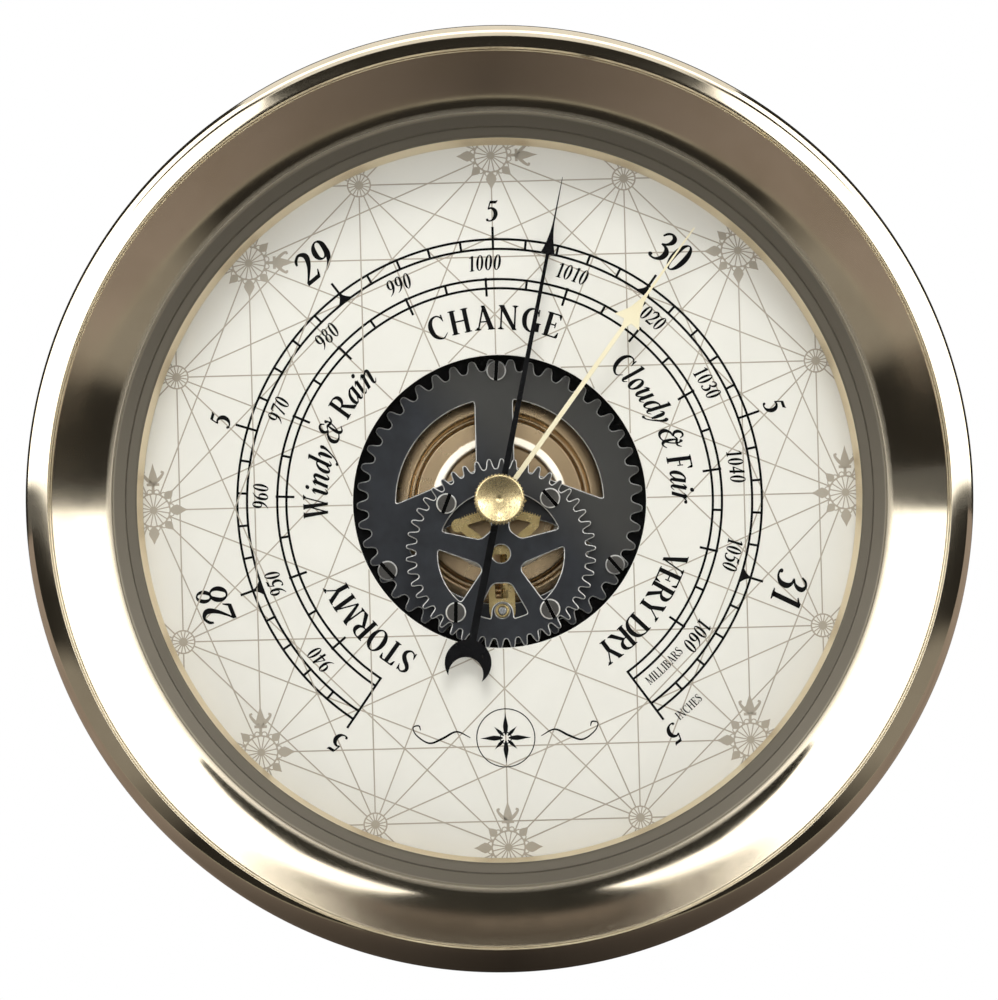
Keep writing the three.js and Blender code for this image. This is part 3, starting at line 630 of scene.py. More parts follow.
def make_back():
    holes = [circle(1.9, 32, polar(63.5, a)) for a in (30, 150, 270)]
    holes += [circle(1.6, 32, polar(40, a)) for a in (0, 45, 135, 180, 225, 315)]
    holes += [circle(3.2, 40, (0, -12)), keyhole(1.5)]
    flat_piece("back_plate", [circle(68.6, 256), *holes], 0, 1.5, "case", AGED_BRASS,
               ["back_cover"], 0.2)
    corners = [(-13, 35, 3), (13, 35, 3), (13, 57, 3), (-13, 57, 3)]
    flat_piece("hanger_steel", [rounded(corners), keyhole(0)], 1.8, 3.0, "case", STEEL,
               ["hanger_plate"], 0.15)


# ---------------------------------------------------------------- movement

def cog(teeth, tip, root, turn=0.0, centre_z=0.0):
    """A wheel outline with round-topped teeth and round gaps."""
    points = []
    middle, half = (tip + root) / 2, (tip - root) / 2
    per_tooth = 14
    for i in range(teeth * per_tooth):
        wave = math.cos(2 * math.pi * i / per_tooth)
        squared = math.tanh(1.7 * wave) / math.tanh(1.7)
        x, z = polar(middle + half * squared, turn + 360 * i / (teeth * per_tooth))
        points.append((x, z + centre_z))
    return points


def main_windows():
    rim = 18.2
    shoulder = math.tan(math.radians(21.2))

    def upper(edge, side):
        top = math.degrees(math.acos(edge / rim))
        first, last = (top, 179.5) if side < 0 else (0.5, top)
        bow = arc(rim, first + 2, last - 2, 32)
        inner = (edge, (rim - abs(edge)) * shoulder + 0.2, 0.8)
        return rounded([(*polar(rim, first), 0.8), *bow, (*polar(rim, last), 0.8), inner])

    low_rim = 17.9
    lower = rounded([
        (*polar(low_rim, 206), 0.8), *arc(low_rim, 209, 331, 40), (*polar(low_rim, 334), 0.8),
        (8, -3.5, 2), (0, -2.6, 1), (-8, -3.5, 2),
    ])
    return [upper(-4.0, -1), upper(2.8, 1), lower]


def front_windows():
    rim, hub, foot, half = 11.05, 4.4, 11.5, 1.95
    upper = [(*polar(rim, 98), 0.7), *arc(rim, 102, 154, 20), (*polar(rim, 158), 0.7),
             (*polar(hub, 144), 0.7), (*polar(hub, 112), 0.7)]
    lower = [(*polar(rim, 175), 0.7), *arc(rim, 179, 225, 18), (*polar(rim, 229), 0.7),
             (*polar(hub, 220), 0.7), (*polar(hub, 203), 0.7)]
    bottom = [(*polar(foot, 247), 0.8), *arc(foot, 250, 257, 3), (-half - 0.1, -foot + 0.1, 0.5),
              *arc(half, 180, 0, 24, (0, -10.35)), (half + 0.1, -foot + 0.1, 0.5),
              *arc(foot, 283, 290, 3), (*polar(foot, 293), 0.8), (1.6, -5.2, 0.9), (-1.6, -5.2, 0.9)]

    def mirrored(points):
        return [(-p[0], *p[1:]) for p in reversed(points)]

    windows = [upper, mirrored(upper), lower, mirrored(lower), bottom]
    return [[(x, z + FRONT_CENTRE_Z) for x, z in rounded(w)] for w in windows]


PLATE_EDGE = 0.18
SCREW_SLOTS = {  # which way each slot lies, in degrees from level
    "main_plate_screw_1": 85, "main_plate_screw_2": -49, "main_plate_screw_3": -50,
    "front_plate_screw_1": 68, "front_plate_screw_2": -50,
    "front_plate_screw_3": 88, "front_plate_screw_4": -65,
}


def make_movement():
    flat_piece("main_plate_cut", [cog(45, MAIN_TIP, 23.2, 4), *main_windows(), circle(0.9, 24),
                                  circle(0.8, 24, (0, PIVOT_Z))],
               MAIN_BACK, MAIN_FRONT, "case", BLACK_STEEL, ["main_plate"], PLATE_EDGE)
    holes = [circle(1.6, 40, (0, FRONT_CENTRE_Z)), circle(1.6, 40), circle(1.25, 32, (0, PIVOT_Z))]
    flat_piece("front_plate_cut", [cog(46, FRONT_TIP, 15.0, 2, FRONT_CENTRE_Z), *front_windows(), *holes],
               FRONT_BACK, FRONT_FRONT, "case", BLACK_STEEL, ["front_plate"], PLATE_EDGE)
    make_capsule()
    for node, slot in SCREW_SLOTS.items():
        make_screw(node, slot)


def make_screw(node, slot_degrees):
    """A cheese-head screw with a cut slot, where the frame has it."""
    low, high = (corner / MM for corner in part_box(node))
    radius, back, front = (high.x - low.x) / 2, -high.y, -low.y
    shank, edge = 0.6, 0.22
    profile = [(0, back), (shank, back), (shank, back + 0.05), (radius, back + 0.05),
               (radius, front - edge), (radius - edge, front), (0, front)]
    middle = ((low.x + high.x) / 2, (low.z + high.z) / 2)
    head = turned(node + "_head", profile, "case", SCREW_STEEL, [node], 72, 0.06, middle)
    half_length, half_width, floor = radius + 1, 0.33, front - SLOT_DEPTH
    a = math.radians(slot_degrees)
    corners = [(-half_length, -half_width), (half_length, -half_width), (half_length, half_width),
               (-half_length, half_width)]
    ring = [(x * math.cos(a) - z * math.sin(a) + middle[0], x * math.sin(a) + z * math.cos(a) + middle[1])
            for x, z in corners]
    points = [(x, z, depth) for depth in (floor, front + 1) for x, z in ring]
    faces = [(0, 1, 2, 3), (7, 6, 5, 4), (0, 4, 5, 1), (1, 5, 6, 2), (2, 6, 7, 3), (3, 7, 4, 0)]
    cutter = mesh_object(node + "_cutter", points, faces)
    outward(cutter)
    slot = head.modifiers.new("slot", "BOOLEAN")
    slot.operation, slot.solver, slot.object = "DIFFERENCE", "EXACT", cutter
    worn = head.modifiers.new("worn", "BEVEL")
    worn.width, worn.segments, worn.limit_method, worn.angle_limit = 0.09 * MM, 1, "ANGLE", math.radians(50)
    mesh = baked(head)
    head.modifiers.clear()
    head.data = mesh
    bpy.data.objects.remove(cutter)
    mesh.shade_smooth()
    mesh.set_sharp_from_angle(angle=math.radians(30))


def make_capsule():
    rear = [(0, 5.3), (17, 5.3), (20.0, 7.0), (20.6, 7.3), (20.6, 8.1), (19, 8.1), (0, 8.1)]
    turned("capsule_rear", rear, "case", BRONZE, ["capsule_rear_shell"], 192, 0.2)
    waves = [
        (0, 8.7), (20.0, 8.7), (20.0, 9.0), (18.6, 9.35), (16.1, 9.55), (15.6, 9.0), (15.0, 9.0),
        (14.7, 9.75), (11.9, 9.85), (10.6, 10.3), (10.3, 9.6), (3.9, 9.6), (3.6, 10.3),
        (0, 10.3),
    ]
    skin = turned("capsule_skin", waves, "capsule_front", BRONZE, ["capsule_diaphragm"], 192, 0.3)
    return skin


# ---------------------------------------------------------------- hands and knob

def pointer_outline():
    crescent, bite = (4.1, -28.9), (3.05, -31.0)
    right = [(0.05, 57.8), (0.16, 49.5), (0.3, 48.0), (0.55, 46.6), (0.9, 45.3), (1.25, 44.2),
             (0.3, 43.95), (0.32, 40), (0.55, 2.4)]
    right += arc(2.5, 70, -70, 24)
    right += [(0.6, -2.5), (0.67, -24.85)]
    right += arc(crescent[0], 76, -43.8, 28, (0, crescent[1]))
    inner = arc(bite[0], -10, 190, 40, (0, bite[1]))
    return right + inner + [(-x, z) for x, z in reversed(right)]


def set_outline():
    right = [(0.12, 58.7), (0.24, 44.5), (0.45, 43.0), (1.1, 40.8), (2.6, 38.4), (0.75, 38.6),
             (0.38, 37.4), (0.45, 3)]
    right += arc(2.4, 75, -90, 28)
    return right + [(-x, z) for x, z in reversed(right[:-1])]


def knob_flutes():
    """A knurled grip as a stack of fluted rings, with a turned neck and a dished face."""
    flutes, flute_depth = 44, 0.24
    segments = flutes * 8
    profile = [(0, 31.7), (3.2, 31.7), (3.2, 33.7), (3.4, 34.0)]
    profile += [(KNOB_RADIUS - 0.35, 34.0), (KNOB_RADIUS - 0.05, 34.3), (KNOB_RADIUS, 34.7)]
    profile += [(KNOB_RADIUS, 38.6), (KNOB_RADIUS - 0.03, 38.95), (KNOB_RADIUS - 0.12, 39.25)]
    profile += [(4.2, 39.48), (4.05, KNOB_FRONT - 0.02), (3.9, KNOB_FRONT), (3.7, 39.52)]
    profile += [(3.0, 39.18), (2.2, 38.92), (1.4, 38.76), (0.8, 38.70), (0.35, 38.67), (0.2, 38.55)]
    profile.append((0, 38.5))
    points, rings = [], []
    for radius, depth in profile:
        if radius == 0:
            rings.append([len(points)])
            points.append((0, 0, depth))
            continue
        fluted = flute_depth if 34.2 < depth < 39.4 and radius > 4.2 else 0.0
        rings.append(list(range(len(points), len(points) + segments)))
        for k in range(segments):
            dip = fluted * (0.5 - 0.5 * math.cos(2 * math.pi * k * flutes / segments)) ** 2
            x, z = polar(radius - dip, 360 * k / segments)
            points.append((x, z, depth))
    obj = mesh_object("knob_knurled", points, ring_faces(rings), 40)
    outward(obj)
    return finish_piece(obj, "set_hand", KNOB_BRASS, ["set_knob"])


def make_hands():
    pointer = [swung(pointer_outline(), HAND_ANGLE), swung(circle(1.55, 32), HAND_ANGLE)]
    flat_piece("pointer_blued", pointer, HAND_BACK, HAND_FRONT, "hand", BLACK_ENAMEL,
               ["indicating_hand"], 0.04)
    cream = [swung(set_outline(), SET_ANGLE), swung(circle(1.35, 32), SET_ANGLE)]
    flat_piece("set_pointer", cream, SET_BACK, SET_FRONT, "set_hand", CREAM_ENAMEL,
               ["set_hand"], 0.04)
    knob_flutes()


# ---------------------------------------------------------------- ribbons of ink

class Ribbons:
    """Thin raised strips of print. A strip is a list of (left, right) point pairs on the dial's face."""

    def __init__(self, name, material, lift):
        self.name, self.material, self.slot, self.lift = name, material, "dial_print", lift
        self.points, self.faces, self.count = [], [], 0

    def strip(self, pairs, closed=False):
        self.count += 1
        top = DIAL_FRONT + self.lift + 0.00012 * (self.count % 200)
        base = DIAL_FRONT - 0.01
        start = len(self.points)
        for left, right in pairs:
            self.points += [(*left, base), (*right, base), (*right, top), (*left, top)]
        count = len(pairs)
        for i in range(count if closed else count - 1):
            a, b = start + 4 * i, start + 4 * ((i + 1) % count)
            for k in range(4):
                n = (k + 1) % 4
                self.faces.append((a + k, a + n, b + n, b + k))
        if not closed:
            last = start + 4 * (count - 1)
            self.faces.append((start, start + 3, start + 2, start + 1))
            self.faces.append((last, last + 1, last + 2, last + 3))

    def line(self, a, b, width):
        along = (Vector(b) - Vector(a)).normalized()
        half = Vector((-along.y, along.x)) * width / 2
        self.strip([(Vector(a) + half, Vector(a) - half), (Vector(b) + half, Vector(b) - half)])

    def ring(self, radius, width, start=0.0, end=360.0, centre=(0, 0), steps=None):
        """A circle, or the part of it between two clock angles."""
        closed = end - start >= 360
        steps = steps or max(12, int(abs(end - start) * radius / 60))
        pairs = []
        for i in range(steps if closed else steps + 1):
            angle = start + (end - start) * i / steps
            outer, inner = clock(radius + width / 2, angle), clock(radius - width / 2, angle)
            pairs.append(((outer[0] + centre[0], outer[1] + centre[1]),
                          (inner[0] + centre[0], inner[1] + centre[1])))
        self.strip(pairs, closed)

    def build(self):
        obj = mesh_object(self.name, self.points, self.faces, 20)
        made = bmesh.new()
        made.from_mesh(obj.data)
        bmesh.ops.recalc_face_normals(made, faces=made.faces)
        made.to_mesh(obj.data)
        made.free()
        return finish_piece(obj, "case", self.material)


# ---------------------------------------------------------------- serif lettering

THICK, HAIR, SPACE = 0.135, 0.045, 0.30


def smooth_path(knots):
    """A Catmull-Rom curve through (x, y, width) knots."""
    steps = 6
    line = [Vector(k) for k in knots]
    line = [line[0] * 2 - line[1], *line, line[-1] * 2 - line[-2]]
    out = []
    for p0, p1, p2, p3 in zip(line, line[1:], line[2:], line[3:]):
        for i in range(steps):
            t = i / steps
            out.append(0.5 * ((2 * p1) + (p2 - p0) * t + (2 * p0 - 5 * p1 + 4 * p2 - p3) * t * t
                              + (3 * p1 - p0 - 3 * p2 + p3) * t ** 3))
    out.append(line[-2])
    return out


def swash(*knots):
    """A pen stroke of changing width through (x, y, width) knots, as a strip."""
    path = smooth_path(knots)
    pairs = []
    for i, point in enumerate(path):
        ahead, behind = path[min(i + 1, len(path) - 1)], path[max(i - 1, 0)]
        along = Vector((ahead.x - behind.x, ahead.y - behind.y)).normalized()
        across = Vector((-along.y, along.x)) * max(point.z, 0.01) / 2
        pairs.append((Vector((point.x, point.y)) + across, Vector((point.x, point.y)) - across))
    return pairs, False


def bar(x0, y0, x1, y1, width, end=None):
    """A straight stroke whose ends are cut level for an upright or slanted stem, square otherwise."""
    steep = abs(y1 - y0) > abs(x1 - x0) * 0.6
    half, far = width / 2, (width if end is None else end) / 2
    if steep:
        return [(Vector((x0 - half, y0)), Vector((x0 + half, y0))),
                (Vector((x1 - far, y1)), Vector((x1 + far, y1)))], False
    return [(Vector((x0, y0 + half)), Vector((x0, y0 - half))),
            (Vector((x1, y1 + far)), Vector((x1, y1 - far)))], False


def serif(x, y, half=0.13, up=True):
    """A bracketed foot or head serif under or over a stem."""
    side = 1 if up else -1
    heights = [(0, 0.1), (0.38, 0.085), (0.55, 0.045), (1, 0.03)]
    heights = [(-s, h) for s, h in reversed(heights[1:])] + heights
    return [(Vector((x + half * s, y)), Vector((x + half * s, y + side * h))) for s, h in heights], False


def bowl(cx, cy, rx, ry, thick=THICK, thin=HAIR, tilt=0):
    """A closed round with its weight at the sides."""
    pairs, steps = [], 40
    for i in range(steps):
        a = 2 * math.pi * i / steps
        ca, sa = math.cos(a), math.sin(a)
        weight = thin + (thick - thin) * abs(math.cos(a - tilt)) ** 1.6
        outer = Vector((cx + rx * ca, cy + ry * sa))
        normal = Vector((ca / rx, sa / ry)).normalized()
        pairs.append((outer, outer - normal * weight))
    return pairs, True


def dot(cx, cy, radius):
    return [(Vector((cx + radius * math.cos(a), cy + radius * math.sin(a))), Vector((cx, cy)))
            for a in (2 * math.pi * i / 14 for i in range(14))], True


def stem(x, low=0, high=1, width=THICK * 0.95, feet="both", half=0.14):
    parts = [bar(x, low, x, high, width)]
    if feet in ("both", "foot"):
        parts.append(serif(x, low, half))
    if feet in ("both", "head"):
        parts.append(serif(x, high, half, False))
    return parts


def arm(x0, x1, y, tick):
    """A thin horizontal arm with a wedge at its end that points up or down by `tick`."""
    thin = 0.05
    return [bar(x0, y, x1, y, thin),
            bar(x1 - 0.035, y, x1 + 0.01, y + tick, 0.1, 0.025)]


HEAD = swash((0, 0.5, 0.02), (0.08, 0.6, 0.05), (0.16, 0.63, 0.08))
TAIL = ((0, 0.16, 0.11), (0.01, 0.05, 0.08), (0.08, 0.01, 0.045), (0.18, 0.12, 0.02))


def tail(x):
    return swash(*[(x + dx, y, w) for dx, y, w in TAIL])


C_KNOTS = ((0.6, 0.7, 0.02), (0.56, 0.86, 0.045), (0.42, 0.975, 0.05), (0.23, 0.92, 0.085),
           (0.11, 0.72, 0.125), (0.09, 0.48, 0.14), (0.15, 0.22, 0.12), (0.3, 0.05, 0.075))
C_BEAK = bar(0.595, 0.98, 0.605, 0.68, 0.045, 0.02)
A_KNOTS = ((0.27, 0.61, 0.055), (0.13, 0.46, 0.1), (0.09, 0.24, 0.12), (0.13, 0.07, 0.09),
           (0.22, 0.04, 0.05), (0.32, 0.16, 0.04), (0.4, 0.36, 0.03))

# Each glyph is (advance, strips); the cap height is 1 and the baseline is 0.
GLYPHS = {
    "0": (0.52, [bowl(0.25, 0.49, 0.205, 0.5, 0.11, 0.035)]),
    "1": (0.46, [bar(0.25, 0, 0.25, 0.97, 0.105), serif(0.25, 0, 0.15),
                 swash((0.07, 0.83, 0.03), (0.16, 0.88, 0.05), (0.27, 0.97, 0.04))]),
    "2": (0.52, [swash((0.05, 0.72, 0.04), (0.09, 0.86, 0.07), (0.22, 0.955, 0.07), (0.35, 0.87, 0.1),
                       (0.385, 0.72, 0.115), (0.32, 0.5, 0.09), (0.2, 0.29, 0.06), (0.05, 0.07, 0.04)),
                 bar(0.03, 0.05, 0.43, 0.05, 0.1), bar(0.4, 0.03, 0.475, 0.25, 0.07, 0.025)]),
    "3": (0.5, [swash((0.05, 0.78, 0.04), (0.12, 0.91, 0.06), (0.23, 0.965, 0.06), (0.34, 0.89, 0.095),
                       (0.355, 0.75, 0.1), (0.28, 0.61, 0.06), (0.15, 0.54, 0.035)),
                 swash((0.15, 0.54, 0.035), (0.3, 0.5, 0.07), (0.395, 0.36, 0.115), (0.38, 0.16, 0.11),
                       (0.26, 0.035, 0.06), (0.14, 0.02, 0.05), (0.06, 0.06, 0.06)),
                 dot(0.075, 0.085, 0.05)]),
    "4": (0.52, [bar(0.33, 0, 0.33, 0.98, 0.105), bar(0.02, 0.29, 0.47, 0.29, 0.075),
                 bar(0.045, 0.3, 0.33, 0.97, 0.045)]),
    "5": (0.5, [bar(0.14, 0.925, 0.4, 0.925, 0.1), bar(0.37, 0.9, 0.44, 1.02, 0.08, 0.025),
                 bar(0.085, 0.58, 0.155, 0.93, 0.04),
                 swash((0.08, 0.58, 0.045), (0.2, 0.64, 0.07), (0.34, 0.54, 0.11), (0.395, 0.34, 0.125),
                       (0.34, 0.13, 0.1), (0.22, 0.025, 0.055), (0.1, 0.02, 0.05), (0.04, 0.06, 0.06)),
                 dot(0.06, 0.08, 0.045)]),
    "6": (0.52, [bowl(0.255, 0.295, 0.205, 0.305, 0.11, 0.04),
                 swash((0.43, 0.98, 0.02), (0.3, 0.9, 0.05), (0.17, 0.74, 0.085), (0.1, 0.52, 0.11),
                       (0.105, 0.3, 0.11))]),
    "7": (0.5, [bar(0.05, 0.93, 0.46, 0.93, 0.095), bar(0.05, 0.96, 0.02, 0.74, 0.06, 0.02),
                 bar(0.43, 0.95, 0.17, 0, 0.06, 0.09)]),
    "8": (0.52, [bowl(0.25, 0.745, 0.165, 0.24, 0.09, 0.04, -0.5),
                 bowl(0.25, 0.275, 0.2, 0.285, 0.105, 0.04, -0.5)]),
    "9": (0.52, [bowl(0.25, 0.69, 0.205, 0.305, 0.11, 0.04),
                 swash((0.075, 0, 0.02), (0.205, 0.08, 0.05), (0.335, 0.24, 0.085), (0.405, 0.46, 0.11),
                       (0.4, 0.68, 0.11))]),
    "A": (0.74, [bar(0.13, 0, 0.375, 1, 0.05), bar(0.62, 0, 0.36, 1.02, 0.15, 0.11),
                 bar(0.2, 0.34, 0.53, 0.34, 0.045), serif(0.12, 0, 0.12), serif(0.62, 0, 0.14)]),
    "B": (0.64, stem(0.14) + [
        swash((0.13, 0.975, 0.045), (0.32, 0.975, 0.05), (0.45, 0.88, 0.09), (0.47, 0.75, 0.12),
              (0.43, 0.61, 0.08), (0.3, 0.53, 0.045), (0.13, 0.53, 0.045)),
        swash((0.13, 0.53, 0.045), (0.34, 0.52, 0.05), (0.5, 0.4, 0.11), (0.52, 0.26, 0.135),
              (0.47, 0.11, 0.09), (0.32, 0.025, 0.05), (0.13, 0.025, 0.045))]),
    "C": (0.68, [swash(*C_KNOTS, (0.46, 0.02, 0.045), (0.63, 0.18, 0.02)), C_BEAK]),
    "D": (0.76, stem(0.14) + [
        swash((0.13, 0.975, 0.045), (0.33, 0.97, 0.05), (0.54, 0.85, 0.1), (0.63, 0.6, 0.14),
              (0.61, 0.33, 0.135), (0.49, 0.11, 0.09), (0.32, 0.025, 0.05), (0.13, 0.025, 0.045))]),
    "E": (0.63, stem(0.14) + arm(0.14, 0.53, 0.975, -0.2) + arm(0.14, 0.56, 0.025, 0.22)
          + [bar(0.14, 0.52, 0.4, 0.52, 0.045), bar(0.4, 0.4, 0.4, 0.64, 0.035)]),
    "F": (0.58, stem(0.14) + arm(0.14, 0.53, 0.975, -0.2)
          + [bar(0.14, 0.5, 0.4, 0.5, 0.045), bar(0.4, 0.38, 0.4, 0.62, 0.035)]),
    "G": (0.74, [swash(*C_KNOTS, (0.45, 0.02, 0.045), (0.59, 0.08, 0.045)), C_BEAK,
                 bar(0.6, 0.04, 0.6, 0.4, 0.125), serif(0.6, 0.4, 0.13, False)]),
    "H": (0.8, stem(0.15) + stem(0.63) + [bar(0.15, 0.515, 0.63, 0.515, 0.05)]),
    "I": (0.34, stem(0.17)),
    "L": (0.6, stem(0.14) + arm(0.14, 0.53, 0.025, 0.24)),
    "M": (0.94, stem(0.14, width=0.05, half=0.11) + stem(0.79)
          + [bar(0.15, 1, 0.44, 0.03, 0.15, 0.07), bar(0.44, 0.03, 0.76, 1, 0.045)]),
    "N": (0.8, stem(0.15, width=0.05, half=0.11) + stem(0.66, width=0.05, feet="head", half=0.11)
          + [bar(0.14, 1, 0.665, -0.02, 0.15, 0.12)]),
    "O": (0.76, [bowl(0.37, 0.495, 0.32, 0.515, 0.14, 0.045, 0.25)]),
    "R": (0.72, stem(0.14) + [
        swash((0.13, 0.975, 0.045), (0.33, 0.975, 0.05), (0.47, 0.88, 0.1), (0.505, 0.745, 0.13),
              (0.46, 0.6, 0.1), (0.32, 0.51, 0.05), (0.13, 0.51, 0.045)),
        bar(0.64, 0, 0.32, 0.53, 0.15, 0.11), serif(0.65, 0, 0.11)]),
    "S": (0.56, [swash((0.44, 0.76, 0.02), (0.4, 0.9, 0.045), (0.28, 0.975, 0.05), (0.14, 0.9, 0.085),
                       (0.11, 0.76, 0.11), (0.19, 0.62, 0.13), (0.33, 0.49, 0.14), (0.435, 0.33, 0.13),
                       (0.43, 0.15, 0.1), (0.28, 0.02, 0.055), (0.13, 0.08, 0.045), (0.06, 0.27, 0.02)),
                 bar(0.435, 0.98, 0.45, 0.72, 0.045, 0.02), bar(0.07, 0.01, 0.055, 0.29, 0.045, 0.02)]),
    "T": (0.66, stem(0.33, feet="foot") + arm(0.33, 0.6, 0.97, -0.22)
          + [bar(0.06, 0.97, 0.33, 0.97, 0.05), bar(0.095, 0.97, 0.05, 0.75, 0.1, 0.025)]),
    "V": (0.74, [bar(0.38, -0.02, 0.12, 1, 0.1, 0.15), bar(0.38, 0, 0.63, 1, 0.045),
                 serif(0.12, 1, 0.13, False), serif(0.63, 1, 0.11, False)]),
    "W": (1, [bar(0.31, -0.02, 0.1, 1, 0.09, 0.145), bar(0.31, 0, 0.52, 0.95, 0.045),
                 bar(0.66, -0.02, 0.46, 1, 0.09, 0.145), bar(0.66, 0, 0.87, 1, 0.045),
                 serif(0.11, 1, 0.13, False), serif(0.47, 1, 0.12, False),
                 serif(0.87, 1, 0.11, False)]),
    "Y": (0.72, [bar(0.36, 0.44, 0.11, 1, 0.12, 0.145), bar(0.37, 0.46, 0.61, 1, 0.045),
                 serif(0.11, 1, 0.13, False), serif(0.61, 1, 0.11, False)]
          + stem(0.36, 0, 0.5, feet="foot")),
    "a": (0.52, [swash((0.42, 0.6, 0.05), *A_KNOTS), bar(0.4, 0.1, 0.425, 0.63, 0.115), tail(0.4)]),
    "d": (0.54, [swash((0.42, 0.58, 0.05), *A_KNOTS),
                 bar(0.4, 0.1, 0.44, 1.02, 0.115), bar(0.31, 0.975, 0.45, 1, 0.04), tail(0.4)]),
    "i": (0.32, [HEAD, bar(0.13, 0.1, 0.155, 0.62, 0.115), tail(0.13), dot(0.19, 0.86, 0.075)]),
    "l": (0.3, [bar(0.13, 0.1, 0.17, 1.02, 0.115), bar(0.04, 0.975, 0.18, 1, 0.04), tail(0.13)]),
    "n": (0.58, [HEAD, bar(0.1, 0, 0.15, 0.62, 0.115),
                 swash((0.12, 0.3, 0.02), (0.2, 0.48, 0.04), (0.32, 0.61, 0.07), (0.41, 0.57, 0.11),
                       (0.42, 0.42, 0.115), (0.395, 0.15, 0.11)), tail(0.395)]),
    "o": (0.5, [bowl(0.255, 0.315, 0.205, 0.33, 0.115, 0.05, 0.4)]),
    "r": (0.42, [HEAD, bar(0.1, 0, 0.15, 0.62, 0.115),
                 swash((0.12, 0.3, 0.02), (0.19, 0.46, 0.04), (0.28, 0.59, 0.05), (0.37, 0.61, 0.07)),
                 dot(0.375, 0.575, 0.06)]),
    "u": (0.58, [HEAD, swash((0.155, 0.62, 0.115), (0.13, 0.36, 0.115), (0.125, 0.14, 0.11),
                             (0.19, 0.03, 0.06), (0.29, 0.12, 0.04), (0.4, 0.34, 0.03)),
                 bar(0.405, 0.1, 0.435, 0.63, 0.115), tail(0.405)]),
    "y": (0.5, [swash((0, 0.5, 0.02), (0.08, 0.61, 0.06), (0.155, 0.52, 0.11), (0.19, 0.28, 0.11),
                       (0.205, 0.04, 0.06)),
                 swash((0.43, 0.55, 0.12), (0.42, 0.38, 0.08), (0.33, 0.12, 0.05), (0.2, -0.13, 0.045),
                       (0.07, -0.26, 0.05)), dot(0.41, 0.575, 0.065), dot(0.055, -0.235, 0.055)]),
    "&": (0.92, [swash((0.47, 0.8, 0.03), (0.37, 0.94, 0.055), (0.24, 0.93, 0.08), (0.17, 0.79, 0.11),
                       (0.22, 0.63, 0.08), (0.36, 0.555, 0.04)),
                 swash((0.36, 0.555, 0.04), (0.17, 0.48, 0.08), (0.07, 0.28, 0.125), (0.16, 0.07, 0.1),
                       (0.35, 0.02, 0.055), (0.55, 0.16, 0.045), (0.64, 0.42, 0.045), (0.66, 0.66, 0.05),
                       (0.6, 0.8, 0.07)),
                 swash((0.36, 0.58, 0.03), (0.48, 0.66, 0.06), (0.62, 0.6, 0.08), (0.76, 0.6, 0.06),
                       (0.84, 0.74, 0.03)),
                 swash((0.5, 0.62, 0.05), (0.5, 0.34, 0.09), (0.55, 0.1, 0.1), (0.68, 0.02, 0.06),
                       (0.82, 0.14, 0.03)), dot(0.59, 0.8, 0.055)]),
}


def text_width(text, tracking):
    return sum(SPACE if c == " " else GLYPHS[c][0] + tracking for c in text)


def lettering(ink, text, middle, radius, height, tracking, slant, narrow, outward_feet=False,
              stretch=None, weight=1.25):
    """Text round the dial. `middle` is its clock angle, `radius` the distance of its middle height;
    `stretch` spreads it over that many degrees and `weight` thickens every stroke."""
    width = text_width(text, tracking)
    base = radius + height / 2 if outward_feet else radius - height / 2
    per_unit = height * narrow / radius if stretch is None else math.radians(stretch) / width
    cursor = -width / 2
    for letter in text:
        if letter == " ":
            cursor += SPACE
            continue
        advance, strips = GLYPHS[letter]
        centre = cursor + (advance + tracking) / 2
        cursor += advance + tracking
        side = -1 if outward_feet else 1
        angle = math.radians(middle) + side * centre * per_unit
        up = Vector((math.sin(angle), math.cos(angle))) * side
        along = Vector((up.y, -up.x))
        foot = Vector((math.sin(angle), math.cos(angle))) * base
        lean = slant * 0.4 if letter.isupper() and slant else slant
        for pairs, closed in strips:
            placed = []
            for pair in pairs:
                centre_line = (pair[0] + pair[1]) / 2
                spots = []
                for end in pair:
                    p = centre_line + (end - centre_line) * weight
                    x = (p.x - advance / 2 + lean * (p.y - 0.4)) * height * narrow
                    spots.append(foot + along * x + up * (p.y * height))
                placed.append(tuple(spots))
            ink.strip(placed, closed)


# ---------------------------------------------------------------- the printed dial

INCHES = {"middle": 29.5, "per_inch": 72.3, "inner": 44.3, "outer": 46.0}
MILLIBARS = {"at_1000": -2.1, "per_mb": 2.13, "inner": 37.4, "outer": 39.0}
SCALE_END = 144.6
SCALE_LINE = 0.42


def inch_angle(inches):
    return (inches - INCHES["middle"]) * INCHES["per_inch"]


def millibar_angle(pressure):
    return MILLIBARS["at_1000"] + (pressure - 1000) * MILLIBARS["per_mb"]


def radial(ink, angle, r0, r1):
    ink.line(clock(r0, angle), clock(r1, angle), SCALE_LINE)


